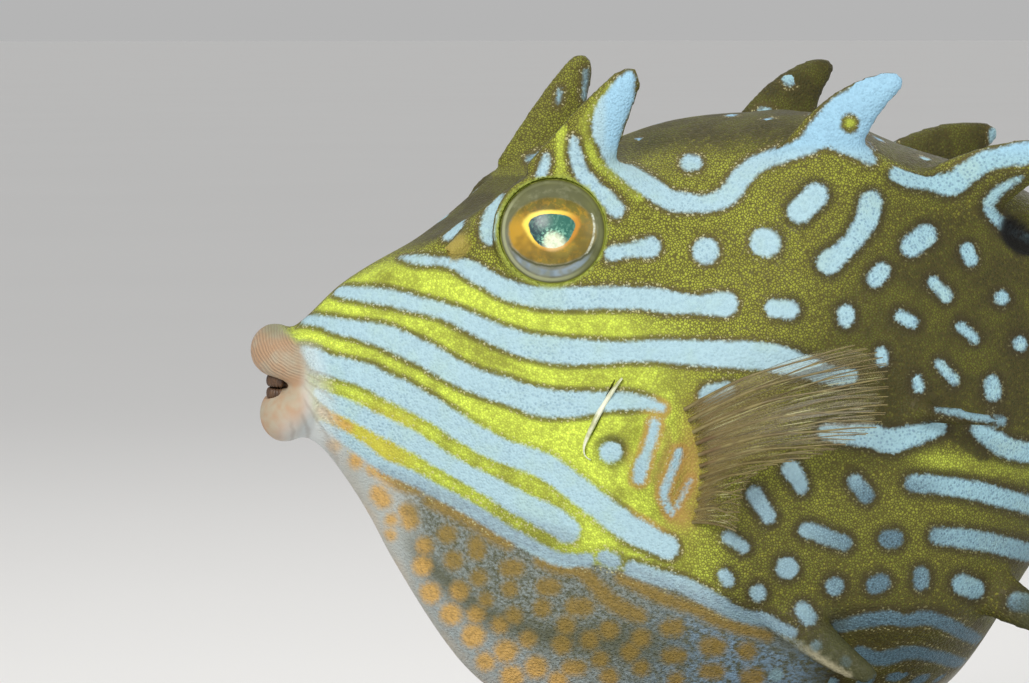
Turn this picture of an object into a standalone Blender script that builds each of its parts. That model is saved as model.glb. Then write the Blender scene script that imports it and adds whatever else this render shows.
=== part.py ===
"""Shaw's cowfish (Aracana aurita), a life-size display model swimming on a plain two-rod stand.

Metres, +Z up. The snout points to -X and the fish's left side faces -Y. The origin is on the floor,
under the middle of the fish's length. Sizes below are in millimetres: a station is a distance back
from the tip of the snout, and a level is a height above the middle of the mouth.
"""

import math

import bmesh
import bpy
import numpy as np
from mathutils import Matrix, Vector

MM = 0.001
GAP = 0.3  # space that touching pieces keep

# The whole fish
TOTAL_LENGTH = 170.0
MOUTH_HEIGHT = 74.0  # of level 0 above the floor
BODY_START = 6.0
CARAPACE_END = 104.0
TAIL_START = CARAPACE_END + GAP
TAIL_END = 137.0
FIN_END = TOTAL_LENGTH
HEAD_CUT_STATION = 45.0  # where the plane behind the gill slit crosses level 0
HEAD_CUT_LEAN = 0.35  # stations gained for each millimetre up that plane

# Lines of the carapace, each a list of (station, value)
TOP_LEVEL = [(6, 7.6), (13, 14.6), (27, 21.6), (41, 28.6), (48, 32.4), (56, 35.2), (66, 36.0),
             (76, 34.7), (87, 30.4), (104, 24.4)]
UPPER_RIDGE_LEVEL = [(6, 6.5), (20, 17.0), (33, 24.5), (58, 24.7), (70, 26.6), (85, 27.2), (97, 25.6),
                     (104, 21.6)]
RIDGE_CRESTS = [(41.0, 7.2, 8.5), (73.2, 6.0, 8.2)]  # (station, rise, half length) under horn and spine
UPPER_RIDGE_REACH = [(6, 2.6), (20, 8.2), (34, 13.6), (50, 16.6), (72, 19.2), (84, 19.2), (104, 14.0)]
SIDE_RIDGE_LEVEL = [(6, 1.2), (34, 2.5), (70, 1.0), (104, 0.5)]
SIDE_RIDGE_REACH = [(6, 4.8), (13, 8.2), (27, 15.0), (41, 20.8), (60, 26.0), (72, 27.2), (84, 27.0),
                    (104, 19.6)]
LOWER_RIDGE_LEVEL = [(6, -3.4), (20, -10.4), (34, -17.0), (52, -23.6), (74, -27.4), (94, -27.4),
                     (104, -20.4)]
LOWER_RIDGE_REACH = [(6, 3.4), (20, 9.8), (34, 17.0), (52, 23.8), (72, 26.3), (86, 24.8), (95, 20.4),
                     (104, 13.0)]
KEEL_LEVEL = [(6, -5.0), (9.5, -7.0), (12.5, -12.2), (15.8, -18.4), (18.5, -24.0), (23.8, -33.0),
              (28.4, -39.0), (33, -42.6), (39, -46.2), (47, -49.4), (56, -50.4), (66, -50.0),
              (76, -48.4), (86, -45.4), (93, -41.4), (97, -36.4), (100.5, -29.0), (104, -21.6)]
# How far each wall of the section bows out, as a share of its width: back, flank, lower flank, belly
BACK_BOW = [(6, 0.10), (30, 0.0), (41, -0.03), (50, 0.08), (60, 0.12), (75, 0.10), (90, 0.12), (104, 0.13)]
WALL_BOWS = (0.035, 0.03, 0.035)
RIDGE_SOFTNESS = [(6, 0.34), (20, 0.18), (34, 0.09), (60, 0.075), (90, 0.08), (104, 0.16)]
WALL_STEPS = 20  # points on one wall before they are thinned
WALL_FACES = 5
STATION_COUNT = 41

# The tail behind the carapace: an upright oval, by station
TAIL_TOP = [(104, 22.6), (108, 20.6), (114, 16.2), (121, 11.6), (129, 8.9), (137, 9.4)]
TAIL_BOTTOM = [(104, -18.6), (108, -16.8), (114, -12.6), (121, -8.2), (129, -5.4), (137, -5.8)]
TAIL_REACH = [(104, 17.2), (108, 14.6), (114, 10.6), (121, 7.0), (129, 4.2), (137, 2.4)]
TAIL_SIDES = 20
TAIL_STATIONS = 12
TAIL_SQUARENESS = 2.2

# Eyes
EYE_STATION = 38.4
EYE_LEVEL = 20.5
EYE_RADIUS = 6.9
EYE_DEPTH = 12.0  # of the eyeball's centre from the middle plane
EYE_RIM_RADIUS = 7.0
EYE_RIM_THICKNESS = 0.9
EYE_RIM_REACH = 16.1
EYE_TURN = (math.radians(10), math.radians(9))  # forwards, and up

# Blade-like spines: (root station, reach, level), (tip station, reach, level), half width fore and
# aft and half thickness sideways at the root, radius at the tip, and the (station, level) by which
# the curve's middle is pulled off the straight line
BROW_HORN = ((39.6, 13.2, 27.0), (47.8, 19.3, 41.9), 5.7, 2.6, 1.4, (-0.5, 0.4))
CARAPACE_SPINES = {
    "back_front": ((70.6, 16.4, 27.0), (82.4, 21.4, 40.7), 5.8, 2.6, 1.0, (-1.5, 4.6)),
    "back_rear": ((90.0, 16.4, 24.6), (105.8, 21.6, 31.2), 5.6, 2.6, 1.0, (-0.8, 3.0)),
    "side": ((80.4, 24.5, -1.4), (92.0, 35.6, -2.2), 2.1, 1.5, 0.5, (-0.3, 0.0)),
    "belly_front": ((66.0, 23.2, -25.6), (77.0, 31.4, -35.0), 4.0, 2.2, 1.1, (-1.4, -1.6)),
    "belly_rear": ((92.6, 18.6, -24.0), (105.6, 26.4, -31.0), 4.0, 2.2, 1.0, (-1.0, -0.8)),
}
RIGHT_TIP_SHIFT = (-0.3, 0.0, 1.6)  # of the horn and the spines of the back, taller on that side
RIGHT_WIDENING = 1.2  # of the spines of the back
SPINE_SIDES = 10
SPINE_RINGS = 6
SPINE_FLARE = 0.95  # power of the taper
NOTCH_PLACE = (102.4, 21.2, 21.4)  # hollow in the rear edge, under the rear spine of the back
NOTCH_SIZE = (7.0, 7.2, 4.6)

# Mouth: each lip is a fat roll bent from one corner of the mouth to the other
LIP_CORNER_STATION = 7.6
UPPER_LIP = {"corner": (4.7, 2.1), "front": (3.5, 5.2), "radius": (1.6, 3.35), "height": 1.05}
LOWER_LIP = {"corner": (4.7, -1.5), "front": (4.5, -2.9), "radius": (1.6, 3.3), "height": 1.10}
LIP_SIDES = 12
LIP_RINGS = 15
TOOTH_COUNT = 8
TOOTH_RADIUS = 0.42
TOOTH_LEVEL = 1.1
TOOTH_ARCH = (4.3, 2.4)  # station of the middle tooth, and reach of the last one

# Nostril tube, gill slit and the fleshy base of the pectoral fin
NOSTRIL_ROOT = (28.6, 11.2, 20.8)
NOSTRIL_END = (24.7, 12.6, 18.3)
NOSTRIL_RADII = (1.7, 0.9)
NOSTRIL_PIT_RADIUS = 0.5
GILL_MIDDLE = (43.2, -2.0)  # station and level
GILL_HALF_LENGTH = 4.9
GILL_LEAN = 0.42
GILL_FLAP_THICKNESS = 0.55
GILL_FLAP_RISE = 1.3
GILL_SLIT_HALF_WIDTH = 0.55
PECTORAL_BASE = {"station": 50.8, "level": -7.4, "length": 4.2, "height": 8.4, "rise": 3.2}

# Fins
FIN_WEB = 0.5  # full thickness of the membrane
FIN_SCALLOP = 0.03
PECTORAL = {
    "root": ((53.4, -1.2), (54.2, -15.2)),
    "root_bulge": 1.4,
    "rise": 0.8,
    "bend": 11.0,
    "angles": [(0, 21.6), (0.2, 16.4), (0.4, 10), (0.6, 10.4), (0.75, 16), (0.9, 4.7), (1, -6)],
    "lengths": [(0, 23.5), (0.1, 26.8), (0.2, 27.2), (0.4, 25.3), (0.5, 22), (0.6, 18.6), (0.7, 13.2),
                (0.8, 9.8), (1, 7.5)],
    "outward": [(0, 24), (0.3, 28), (0.5, 36), (0.7, 52), (0.85, 56), (1, 50)],
}
PECTORAL_RAYS = 11
DORSAL = {"base": (107.0, 119.5), "lengths": [(0, 15.5), (0.35, 20.0), (1, 11.0)], "angles": (68, 28)}
ANAL = {"base": (109.0, 120.5), "lengths": [(0, 14.5), (0.35, 18.5), (1, 10.5)], "angles": (-66, -26)}
MEDIAN_RAYS = 10
CAUDAL = {"root": (9.0, -5.4), "angles": (27, -27), "bulge": 3.6, "curl": 2.6}
CAUDAL_RAYS = 11
FIN_ROWS = 6

# Stand
BASE_LENGTH = 92.0
BASE_WIDTH = 62.0
BASE_THICKNESS = 6.0
BASE_CENTRE_STATION = 66.0
BASE_CORNER = 14.0
BASE_EDGE = 1.2
ROD_RADIUS = 2.2
ROD_STATIONS = (47.0, 82.0)

COLOURS = {
    "skin": ((0.42, 0.47, 0.08, 1), 0.5),
    "horn": ((0.50, 0.66, 0.80, 1), 0.5),
    "lip": ((0.72, 0.50, 0.38, 1), 0.45),
    "fin": ((0.36, 0.27, 0.09, 1), 0.4),
    "eye": ((0.62, 0.42, 0.06, 1), 0.12),
    "tooth": ((0.30, 0.16, 0.10, 1), 0.35),
    "stand": ((0.05, 0.05, 0.055, 1), 0.35),
}


def clear_scene():
    for old in list(bpy.data.objects):
        bpy.data.objects.remove(old)


def material(slot):
    found = bpy.data.materials.get(slot)
    if found:
        return found
    made = bpy.data.materials.new(slot)
    made.use_nodes = True
    shader = made.node_tree.nodes["Principled BSDF"]
    colour, roughness = COLOURS[slot]
    shader.inputs["Base Color"].default_value = colour
    shader.inputs["Roughness"].default_value = roughness
    return made


def along(table, place):
    """The smooth curve through a table of (place, value), read at one place."""
    places = [p for p, _ in table]
    values = [v for _, v in table]
    if place <= places[0]:
        return values[0]
    if place >= places[-1]:
        return values[-1]
    k = max(i for i, p in enumerate(places) if p <= place)
    slopes = []
    for i in (k, k + 1):
        before, after = max(i - 1, 0), min(i + 1, len(places) - 1)
        slopes.append((values[after] - values[before]) / (places[after] - places[before]))
    width = places[k + 1] - places[k]
    t = (place - places[k]) / width
    rise = values[k + 1] - values[k]
    return (values[k] + t * (width * slopes[0] + t * ((3 * rise - width * (2 * slopes[0] + slopes[1]))
            + t * (width * (slopes[0] + slopes[1]) - 2 * rise))))


def world(station, reach, level):
    """A point of the fish, from its station, its reach to the right of the middle and its level."""
    return Vector(((station - TOTAL_LENGTH / 2) * MM, reach * MM, (level + MOUTH_HEIGHT) * MM))


def finish_mesh(name, bm, slot, smooth_angle=35):
    """An object from a bmesh of one closed surface, with its faces turned outwards."""
    bmesh.ops.recalc_face_normals(bm, faces=bm.faces)
    if bm.calc_volume(signed=True) < 0:
        bmesh.ops.reverse_faces(bm, faces=bm.faces)
    mesh = bpy.data.meshes.new(name)
    bm.to_mesh(mesh)
    bm.free()
    mesh.materials.append(material(slot))
    mesh.shade_smooth()
    mesh.set_sharp_from_angle(angle=math.radians(smooth_angle))
    made = bpy.data.objects.new(name, mesh)
    collection("shaws_cowfish").objects.link(made)
    return made


def collection(name):
    found = bpy.data.collections.get(name)
    if not found:
        found = bpy.data.collections.new(name)
        bpy.context.scene.collection.children.link(found)
    return found


def loft(name, rings, slot):
    """A closed tube through rings of equal length, with flat ends."""
    bm = bmesh.new()
    rows = [[bm.verts.new(p) for p in ring] for ring in rings]
    count = len(rows[0])
    for a, b in zip(rows, rows[1:]):
        for i in range(count):
            j = (i + 1) % count
            bm.faces.new((a[i], a[j], b[j], b[i]))
    bm.faces.new(rows[0])
    bm.faces.new(rows[-1])
    return finish_mesh(name, bm, slot)


def apply_modifiers(obj):
    bpy.context.view_layer.update()
    graph = bpy.context.evaluated_depsgraph_get()
    made = bpy.data.meshes.new_from_object(obj.evaluated_get(graph))
    obj.modifiers.clear()
    obj.data = made


def keep_largest(obj):
    """Drops every closed surface of the object but the one with the most volume."""
    bm = bmesh.new()
    bm.from_mesh(obj.data)
    left = set(bm.faces)
    islands = []
    while left:
        island, front = set(), [left.pop()]
        while front:
            face = front.pop()
            island.add(face)
            for edge in face.edges:
                near = [f for f in edge.link_faces if f in left]
                left.difference_update(near)
                front.extend(near)
        islands.append(island)
    if len(islands) > 1:
        islands.sort(key=island_volume, reverse=True)
        extra = [face for island in islands[1:] for face in island]
        bmesh.ops.delete(bm, geom=extra, context="FACES")
    bmesh.ops.triangulate(bm, faces=bm.faces)
    bm.to_mesh(obj.data)
    bm.free()


def island_volume(faces):
    total = 0.0
    for face in faces:
        first = face.verts[0].co
        for a, b in zip(face.verts[1:], face.verts[2:]):
            total += first.dot(a.co.cross(b.co))
    return total / 6


def boolean(target, operation, others):
    """Joins the other objects to the target, or cuts them from it, and removes them."""
    group = bpy.data.collections.new("operands")
    bpy.context.scene.collection.children.link(group)
    for other in others:
        group.objects.link(other)
    modifier = target.modifiers.new(operation.lower(), "BOOLEAN")
    modifier.operation = operation
    modifier.operand_type = "COLLECTION"
    modifier.collection = group
    modifier.solver = "EXACT"
    apply_modifiers(target)
    for other in others:
        bpy.data.objects.remove(other)
    bpy.data.collections.remove(group)
    keep_largest(target)


def grown(obj, distance=GAP):
    """A copy of the object with its surface moved outwards, to cut what touches it."""
    copy = bpy.data.objects.new(obj.name + "_cutter", obj.data.copy())
    copy.hide_render = True
    copy.display_type = "WIRE"
    bpy.context.scene.collection.objects.link(copy)
    copy.matrix_world = obj.matrix_world
    normals = [v.normal.copy() for v in copy.data.vertices]
    for vertex, normal in zip(copy.data.vertices, normals):
        vertex.co += normal * distance * MM
    return copy


def upper_ridge_level(station):
    crests = sum(rise * math.exp(-(((station - place) / half) ** 2)) for place, rise, half in RIDGE_CRESTS)
    return along(UPPER_RIDGE_LEVEL, station) + crests


def carapace_ring(station):
    """The section at a station: four bowed walls on each side, with their ridges rounded."""
    top = (0.0, along(TOP_LEVEL, station))
    upper = (along(UPPER_RIDGE_REACH, station), upper_ridge_level(station))
    side = (along(SIDE_RIDGE_REACH, station), along(SIDE_RIDGE_LEVEL, station))
    lower = (along(LOWER_RIDGE_REACH, station), along(LOWER_RIDGE_LEVEL, station))
    keel = (0.0, along(KEEL_LEVEL, station))
    corners = [complex(*p) for p in (top, upper, side, lower, keel)]
    bows = (along(BACK_BOW, station), *WALL_BOWS)
    half = []
    for a, b, bow in zip(corners, corners[1:], bows):
        outward = (b - a) * 1j
        for k in range(WALL_STEPS):
            t = k / WALL_STEPS
            half.append(a + (b - a) * t + outward * bow * 4 * t * (1 - t))
    other_half = [complex(-p.real, p.imag) for p in reversed(half[1:])]
    ring = np.array(half + [corners[-1]] + other_half)
    pitch = np.fft.fftfreq(len(ring))
    spread = along(RIDGE_SOFTNESS, station) * WALL_STEPS
    ring = np.fft.ifft(np.fft.fft(ring) * np.exp(-2 * (math.pi * pitch * spread) ** 2))
    return [world(station, p.real, p.imag) for p in ring[:: WALL_STEPS // WALL_FACES]]


def body_stations():
    """Stations closer together at the snout and at the rear edge."""
    span = CARAPACE_END - BODY_START
    places = np.linspace(0, 1, STATION_COUNT)
    eased = places - 0.06 * np.sin(2 * math.pi * places)
    return [BODY_START + span * e for e in eased]


def make_body():
    return loft("body", [carapace_ring(s) for s in body_stations()], "skin")


def part_by_plane(obj, name, front):
    """The part of the body in front of, or behind, the plane behind the gill slits."""
    bm = bmesh.new()
    bm.from_mesh(obj.data)
    shift = -GAP / 2 if front else GAP / 2
    point = world(HEAD_CUT_STATION + shift, 0, 0)
    normal = Vector((1, 0, -HEAD_CUT_LEAN)) if front else Vector((-1, 0, HEAD_CUT_LEAN))
    geometry = bm.verts[:] + bm.edges[:] + bm.faces[:]
    cut = bmesh.ops.bisect_plane(bm, geom=geometry, plane_co=point, plane_no=normal, clear_outer=True)
    rim = [item for item in cut["geom_cut"] if isinstance(item, bmesh.types.BMEdge)]
    bmesh.ops.edgeloop_fill(bm, edges=rim)
    return finish_mesh(name, bm, "skin")


def spine(name, side, root, tip, width, thickness, tip_radius, pull, slot="skin"):
    """A curved, tapered spine on one side: wide fore and aft, thinner sideways, round at the tip."""
    if side > 0 and root[2] > 20:
        tip = [a + b for a, b in zip(tip, RIGHT_TIP_SHIFT)]
        width *= RIGHT_WIDENING if slot == "skin" else 1
    start = world(root[0], root[1] * side, root[2])
    end = world(tip[0], tip[1] * side, tip[2])
    outward = Vector((0, side, 0))
    middle = (start + end) / 2 + Vector((pull[0] * MM, 0, pull[1] * MM))
    rings = []
    for k in range(SPINE_RINGS):
        t = k / (SPINE_RINGS - 1)
        centre = start * (1 - t) ** 2 + middle * 2 * t * (1 - t) + end * t**2
        heading = ((middle - start) * (1 - t) + (end - middle) * t).normalized()
        flat = (outward - heading * outward.dot(heading)).normalized()
        broad = heading.cross(flat).normalized()
        taper = (1 - t) ** SPINE_FLARE
        if k == SPINE_RINGS - 1:
            taper = 0
        half_width = (tip_radius + (width - tip_radius) * taper) * MM
        half_thickness = (tip_radius + (thickness - tip_radius) * taper) * MM
        if k == SPINE_RINGS - 1:
            half_width *= 0.45
            half_thickness *= 0.45
        ring = []
        for i in range(SPINE_SIDES):
            turn = 2 * math.pi * i / SPINE_SIDES
            ring.append(centre + broad * half_width * math.cos(turn) + flat * half_thickness * math.sin(turn))
        rings.append(ring)
    return loft(name, rings, slot)


def ellipsoid(name, centre, axes, slot, segments=16, rings=10):
    """A ball stretched along three given half-axes, each a vector in millimetres."""
    bm = bmesh.new()
    bmesh.ops.create_uvsphere(bm, u_segments=segments, v_segments=rings, radius=1)
    stretch = Matrix(axes).transposed().to_4x4()
    stretch.translation = centre / MM
    bmesh.ops.transform(bm, matrix=Matrix.Scale(MM, 4) @ stretch, verts=bm.verts)
    return finish_mesh(name, bm, slot)


def eye_direction(side):
    forwards, up = EYE_TURN
    return Vector((-math.sin(forwards), side * math.cos(forwards) * math.cos(up), math.sin(up))).normalized()


def eye_ball(name, side, radius, slot="eye"):
    centre = world(EYE_STATION, side * EYE_DEPTH, EYE_LEVEL)
    axes = [(radius, 0, 0), (0, radius, 0), (0, 0, radius)]
    return ellipsoid(name, centre, axes, slot, 20, 12)


def eye_rim(side):
    """The raised ring of skin round the eye."""
    bm = bmesh.new()
    rings, sides = 24, 6
    towards = eye_direction(side)
    across = towards.orthogonal().normalized()
    upward = towards.cross(across)
    centre = world(EYE_STATION, side * EYE_DEPTH, EYE_LEVEL) + towards * (EYE_RIM_REACH - EYE_DEPTH) * MM
    rows = []
    for i in range(rings):
        turn = 2 * math.pi * i / rings
        spoke = across * math.cos(turn) + upward * math.sin(turn)
        row = []
        for j in range(sides):
            lift = 2 * math.pi * j / sides
            radius = EYE_RIM_RADIUS + EYE_RIM_THICKNESS * math.cos(lift)
            row.append(bm.verts.new(centre + spoke * radius * MM
                                    + towards * EYE_RIM_THICKNESS * 1.5 * math.sin(lift) * MM))
        rows.append(row)
    for i in range(rings):
        a, b = rows[i], rows[(i + 1) % rings]
        for j in range(sides):
            k = (j + 1) % sides
            bm.faces.new((a[j], a[k], b[k], b[j]))
    return finish_mesh("eye_rim", bm, "skin")


def lip(name, shape):
    """A roll of flesh along a half oval, thickest in the middle."""
    corner_reach, corner_level = shape["corner"]
    front_station, front_level = shape["front"]
    corner_radius, front_radius = shape["radius"]
    points = []
    for k in range(LIP_RINGS):
        turn = math.pi * (k / (LIP_RINGS - 1) - 0.5)
        middle = math.cos(turn) ** 0.9 if abs(turn) < 1.57 else 0.0
        station = LIP_CORNER_STATION + (front_station - LIP_CORNER_STATION) * middle
        level = corner_level + (front_level - corner_level) * middle
        radius = corner_radius + (front_radius - corner_radius) * middle
        points.append((Vector((station, corner_reach * math.sin(turn), level)), radius))
    rings = []
    for k, (centre, radius) in enumerate(points):
        before = points[max(k - 1, 0)][0]
        after = points[min(k + 1, LIP_RINGS - 1)][0]
        heading = (after - before).normalized()
        inward = Vector((1, 0, 0)) - heading * heading.x
        inward.normalize()
        upright = heading.cross(inward)
        ring = []
        for i in range(LIP_SIDES):
            turn = 2 * math.pi * i / LIP_SIDES
            place = centre + inward * radius * math.cos(turn)
            place += upright * radius * shape["height"] * math.sin(turn)
            ring.append(world(*place))
        rings.append(ring)
    return loft(name, rings, "lip")


def make_teeth():
    """A row of small peg teeth along a gum, in the gap between the lips."""
    station, reach = TOOTH_ARCH
    gum = ellipsoid("teeth", world(station + 1.5, 0, TOOTH_LEVEL),
                    [(0.9, 0, 0), (0, reach + 0.5, 0), (0, 0, 0.75)], "tooth", 12, 6)
    pegs = []
    for k in range(TOOTH_COUNT):
        across = (k - (TOOTH_COUNT - 1) / 2) / ((TOOTH_COUNT - 1) / 2)
        place = world(station + 0.9 + 0.9 * across**2, across * reach * 0.88, TOOTH_LEVEL)
        axes = [(1.1, 0, 0), (0, TOOTH_RADIUS, 0), (0, 0, 0.5 + 0.1 * (k % 2))]
        pegs.append(ellipsoid("tooth", place, axes, "tooth", 6, 4))
    boolean(gum, "UNION", pegs)
    return gum


def gill_plate(side, half_length, half_width, depth, shift):
    """A thin upright lens across the flank at the gill slit: its flap, or the slit itself."""
    station, level = GILL_MIDDLE
    reach = along(SIDE_RIDGE_REACH, station) + 0.35
    slope = Vector((GILL_LEAN, 0, 1)).normalized()
    across = Vector((slope.z, 0, -slope.x))
    centre = world(station, side * reach, level) + across * shift * MM
    outward = Vector((0, side * depth, 0))
    return ellipsoid("gill", centre, [across * half_width, outward, slope * half_length], "skin", 8, 10)


def nostril(side):
    """A short tapered tube that points forwards from the ridge above the snout."""
    start = world(NOSTRIL_ROOT[0], side * NOSTRIL_ROOT[1], NOSTRIL_ROOT[2])
    end = world(NOSTRIL_END[0], side * NOSTRIL_END[1], NOSTRIL_END[2])
    axis = (end - start).normalized()
    first = axis.orthogonal().normalized()
    second = axis.cross(first)
    rings = []
    for t in (0.0, 0.35, 0.7, 1.0):
        radius = NOSTRIL_RADII[0] + (NOSTRIL_RADII[1] - NOSTRIL_RADII[0]) * t
        centre = start.lerp(end, t)
        rings.append([centre + (first * math.cos(math.pi * i / 5) + second * math.sin(math.pi * i / 5))
                      * radius * MM for i in range(10)])
    pit = ellipsoid("nostril_pit", end, [first * NOSTRIL_PIT_RADIUS, second * NOSTRIL_PIT_RADIUS, axis * 1.1],
                    "skin", 8, 6)
    return loft("nostril", rings, "skin"), pit


def make_head(body):
    head = part_by_plane(body, "head", front=True)
    added, pits, slits = [], [], []
    for side in (-1, 1):
        tube, pit = nostril(side)
        pits.append(pit)
        added += [eye_rim(side), tube]
        added.append(gill_plate(side, GILL_HALF_LENGTH, GILL_FLAP_THICKNESS, GILL_FLAP_RISE, 0.35))
        slits.append(gill_plate(side, GILL_HALF_LENGTH * 0.92, GILL_SLIT_HALF_WIDTH, 2.2, -0.85))
    boolean(head, "UNION", added)
    sockets = [eye_ball("socket", side, EYE_RADIUS + GAP) for side in (-1, 1)]
    boolean(head, "DIFFERENCE", sockets)
    boolean(head, "DIFFERENCE", slits + pits)


def make_torso(body):
    torso = part_by_plane(body, "torso", front=False)
    added = []
    for side in (-1, 1):
        for name, sizes in CARAPACE_SPINES.items():
            added.append(spine(name, side, *sizes))
        added.append(fin_base("lobe", side))
    boolean(torso, "UNION", added)
    station, reach, level = NOTCH_PLACE
    size = Matrix.Diagonal(NOTCH_SIZE)
    notches = [ellipsoid("notch", world(station, side * reach, level), size, "skin", 14, 8)
               for side in (-1, 1)]
    boolean(torso, "DIFFERENCE", notches)


def tail_ring(station):
    top, bottom = along(TAIL_TOP, station), along(TAIL_BOTTOM, station)
    reach = along(TAIL_REACH, station)
    middle, half = (top + bottom) / 2, (top - bottom) / 2
    ring = []
    for i in range(TAIL_SIDES):
        turn = 2 * math.pi * i / TAIL_SIDES
        c, s = math.cos(turn), math.sin(turn)
        power = 2 / TAIL_SQUARENESS
        ring.append(world(station, reach * math.copysign(abs(s) ** power, s),
                          middle + half * math.copysign(abs(c) ** power, c)))
    return ring


def make_tail():
    stations = np.linspace(TAIL_START, TAIL_END, TAIL_STATIONS)
    return loft("tail", [tail_ring(s) for s in stations], "skin")


def ray_fin(name, rows, ray_thickness, flat_rows=0):
    """A fin from a grid of points, one column a ray and the next the membrane between two rays.

    rows[k] holds the points at one distance out from the root, and both faces use the same triangles.
    """
    columns = len(rows[0])
    bm = bmesh.new()
    faces_out = []
    for face in (1, -1):
        sheet = []
        for k, row in enumerate(rows):
            t = k / (len(rows) - 1)
            line = []
            for c, point in enumerate(row):
                beside = row[min(c + 1, columns - 1)] - row[max(c - 1, 0)]
                ahead = rows[min(k + 1, len(rows) - 1)][c] - rows[max(k - 1, 0)][c]
                normal = ahead.cross(beside).normalized()
                ray = c % 2 == 0
                thick = ray_thickness[0] + (ray_thickness[1] - ray_thickness[0]) * t if ray else FIN_WEB
                if not ray and k < flat_rows:
                    thick = ray_thickness[0] * 0.8
                line.append(bm.verts.new(point + normal * face * thick / 2 * MM))
            sheet.append(line)
        faces_out.append(sheet)
    front, back = faces_out
    for k in range(len(rows) - 1):
        for c in range(columns - 1):
            for sheet, order in ((front, 1), (back, -1)):
                a, b = sheet[k][c], sheet[k][c + 1]
                d, e = sheet[k + 1][c], sheet[k + 1][c + 1]
                for triangle in ((a, b, e), (a, e, d)):
                    bm.faces.new(triangle[::order])
    rim = [(0, c) for c in range(columns)] + [(k, columns - 1) for k in range(1, len(rows))]
    rim += [(len(rows) - 1, c) for c in range(columns - 2, -1, -1)]
    rim += [(k, 0) for k in range(len(rows) - 2, 0, -1)]
    for (k, c), (m, d) in zip(rim, rim[1:] + rim[:1]):
        bm.faces.new((front[k][c], back[k][c], back[m][d]))
        bm.faces.new((front[k][c], back[m][d], front[m][d]))
    return finish_mesh(name, bm, "fin")


def ray_columns(count):
    """The place across the fin of each ray and of the membrane between, from 0 to 1."""
    return [c / (2 * count - 2) for c in range(2 * count - 1)]


def trimmed(column, length):
    """The membrane ends a little short of the rays on both sides of it."""
    return length * (1 - FIN_SCALLOP) if column % 2 else length


def fin_base(name, side):
    """The fleshy lobe of the flank that carries the pectoral fin."""
    base = PECTORAL_BASE
    reach = along(SIDE_RIDGE_REACH, base["station"]) - 1.0
    axes = [(base["length"], 0, 0), (0, base["rise"], 0), (0, 0, base["height"])]
    return ellipsoid(name, world(base["station"], side * reach, base["level"]), axes, "skin", 14, 8)


def pectoral_fin(name, side, body):
    (root_station, root_level), (end_station, end_level) = PECTORAL["root"]
    rows = []
    for k in range(FIN_ROWS + 1):
        t = k / FIN_ROWS
        row = []
        for c, u in enumerate(ray_columns(PECTORAL_RAYS)):
            station = root_station + (end_station - root_station) * u
            station += PECTORAL["root_bulge"] * math.sin(math.pi * u)
            level = root_level + (end_level - root_level) * u
            reach = along(SIDE_RIDGE_REACH, station) + PECTORAL["rise"]
            turn = math.radians(along(PECTORAL["angles"], u) + PECTORAL["bend"] * (1 - t))
            outward = math.radians(along(PECTORAL["outward"], u))
            out = trimmed(c, along(PECTORAL["lengths"], u)) * t
            behind = math.cos(turn) * math.cos(outward) * out
            aside = math.sin(outward) * (1 - 0.3 * t) * out
            row.append(world(station + behind, side * (reach + aside), level + math.sin(turn) * out))
        rows.append(row)
    fin = ray_fin(name, rows, (1.3, 0.8))
    lobe = fin_base("lobe", side)
    boolean(fin, "DIFFERENCE", [grown(body), grown(lobe)])
    bpy.data.objects.remove(lobe)
    return fin


def median_fin(name, shape, edge, tail):
    """The dorsal or anal fin, rooted along the top or the bottom of the tail."""
    first, last = shape["base"]
    up = 1 if edge is TAIL_TOP else -1
    rows = []
    for k in range(FIN_ROWS + 1):
        t = k / FIN_ROWS
        row = []
        for c, u in enumerate(ray_columns(MEDIAN_RAYS)):
            station = first + (last - first) * u
            level = along(edge, station) - up * 1.2
            turn = math.radians(shape["angles"][0] + (shape["angles"][1] - shape["angles"][0]) * u)
            out = trimmed(c, along(shape["lengths"], u)) * t
            sway = 1.1 * math.sin(math.pi * 0.9 * t) * (1 - 0.5 * u)
            row.append(world(station + math.cos(turn) * out, sway, level + math.sin(turn) * out))
        rows.append(row)
    fin = ray_fin(name, rows, (1.4, 0.8), flat_rows=1)
    boolean(fin, "DIFFERENCE", [grown(tail)])
    return fin


def caudal_fin():
    top, bottom = CAUDAL["root"]
    rows = []
    for k in range(FIN_ROWS + 2):
        t = k / (FIN_ROWS + 1)
        row = []
        for c, u in enumerate(ray_columns(CAUDAL_RAYS)):
            level = top + (bottom - top) * u
            turn = math.radians(CAUDAL["angles"][0] + (CAUDAL["angles"][1] - CAUDAL["angles"][0]) * u)
            reach_back = FIN_END - TAIL_END - GAP - CAUDAL["bulge"] * (2 * u - 1) ** 2
            out = trimmed(c, reach_back) * t
            curl = CAUDAL["curl"] * math.sin(math.pi * 0.5 * t) * math.cos(math.pi * u)
            row.append(world(TAIL_END + GAP + out, curl * t, level + math.tan(turn) * out))
        rows.append(row)
    return ray_fin("caudal_fin", rows, (2.6, 0.8), flat_rows=1)


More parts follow.
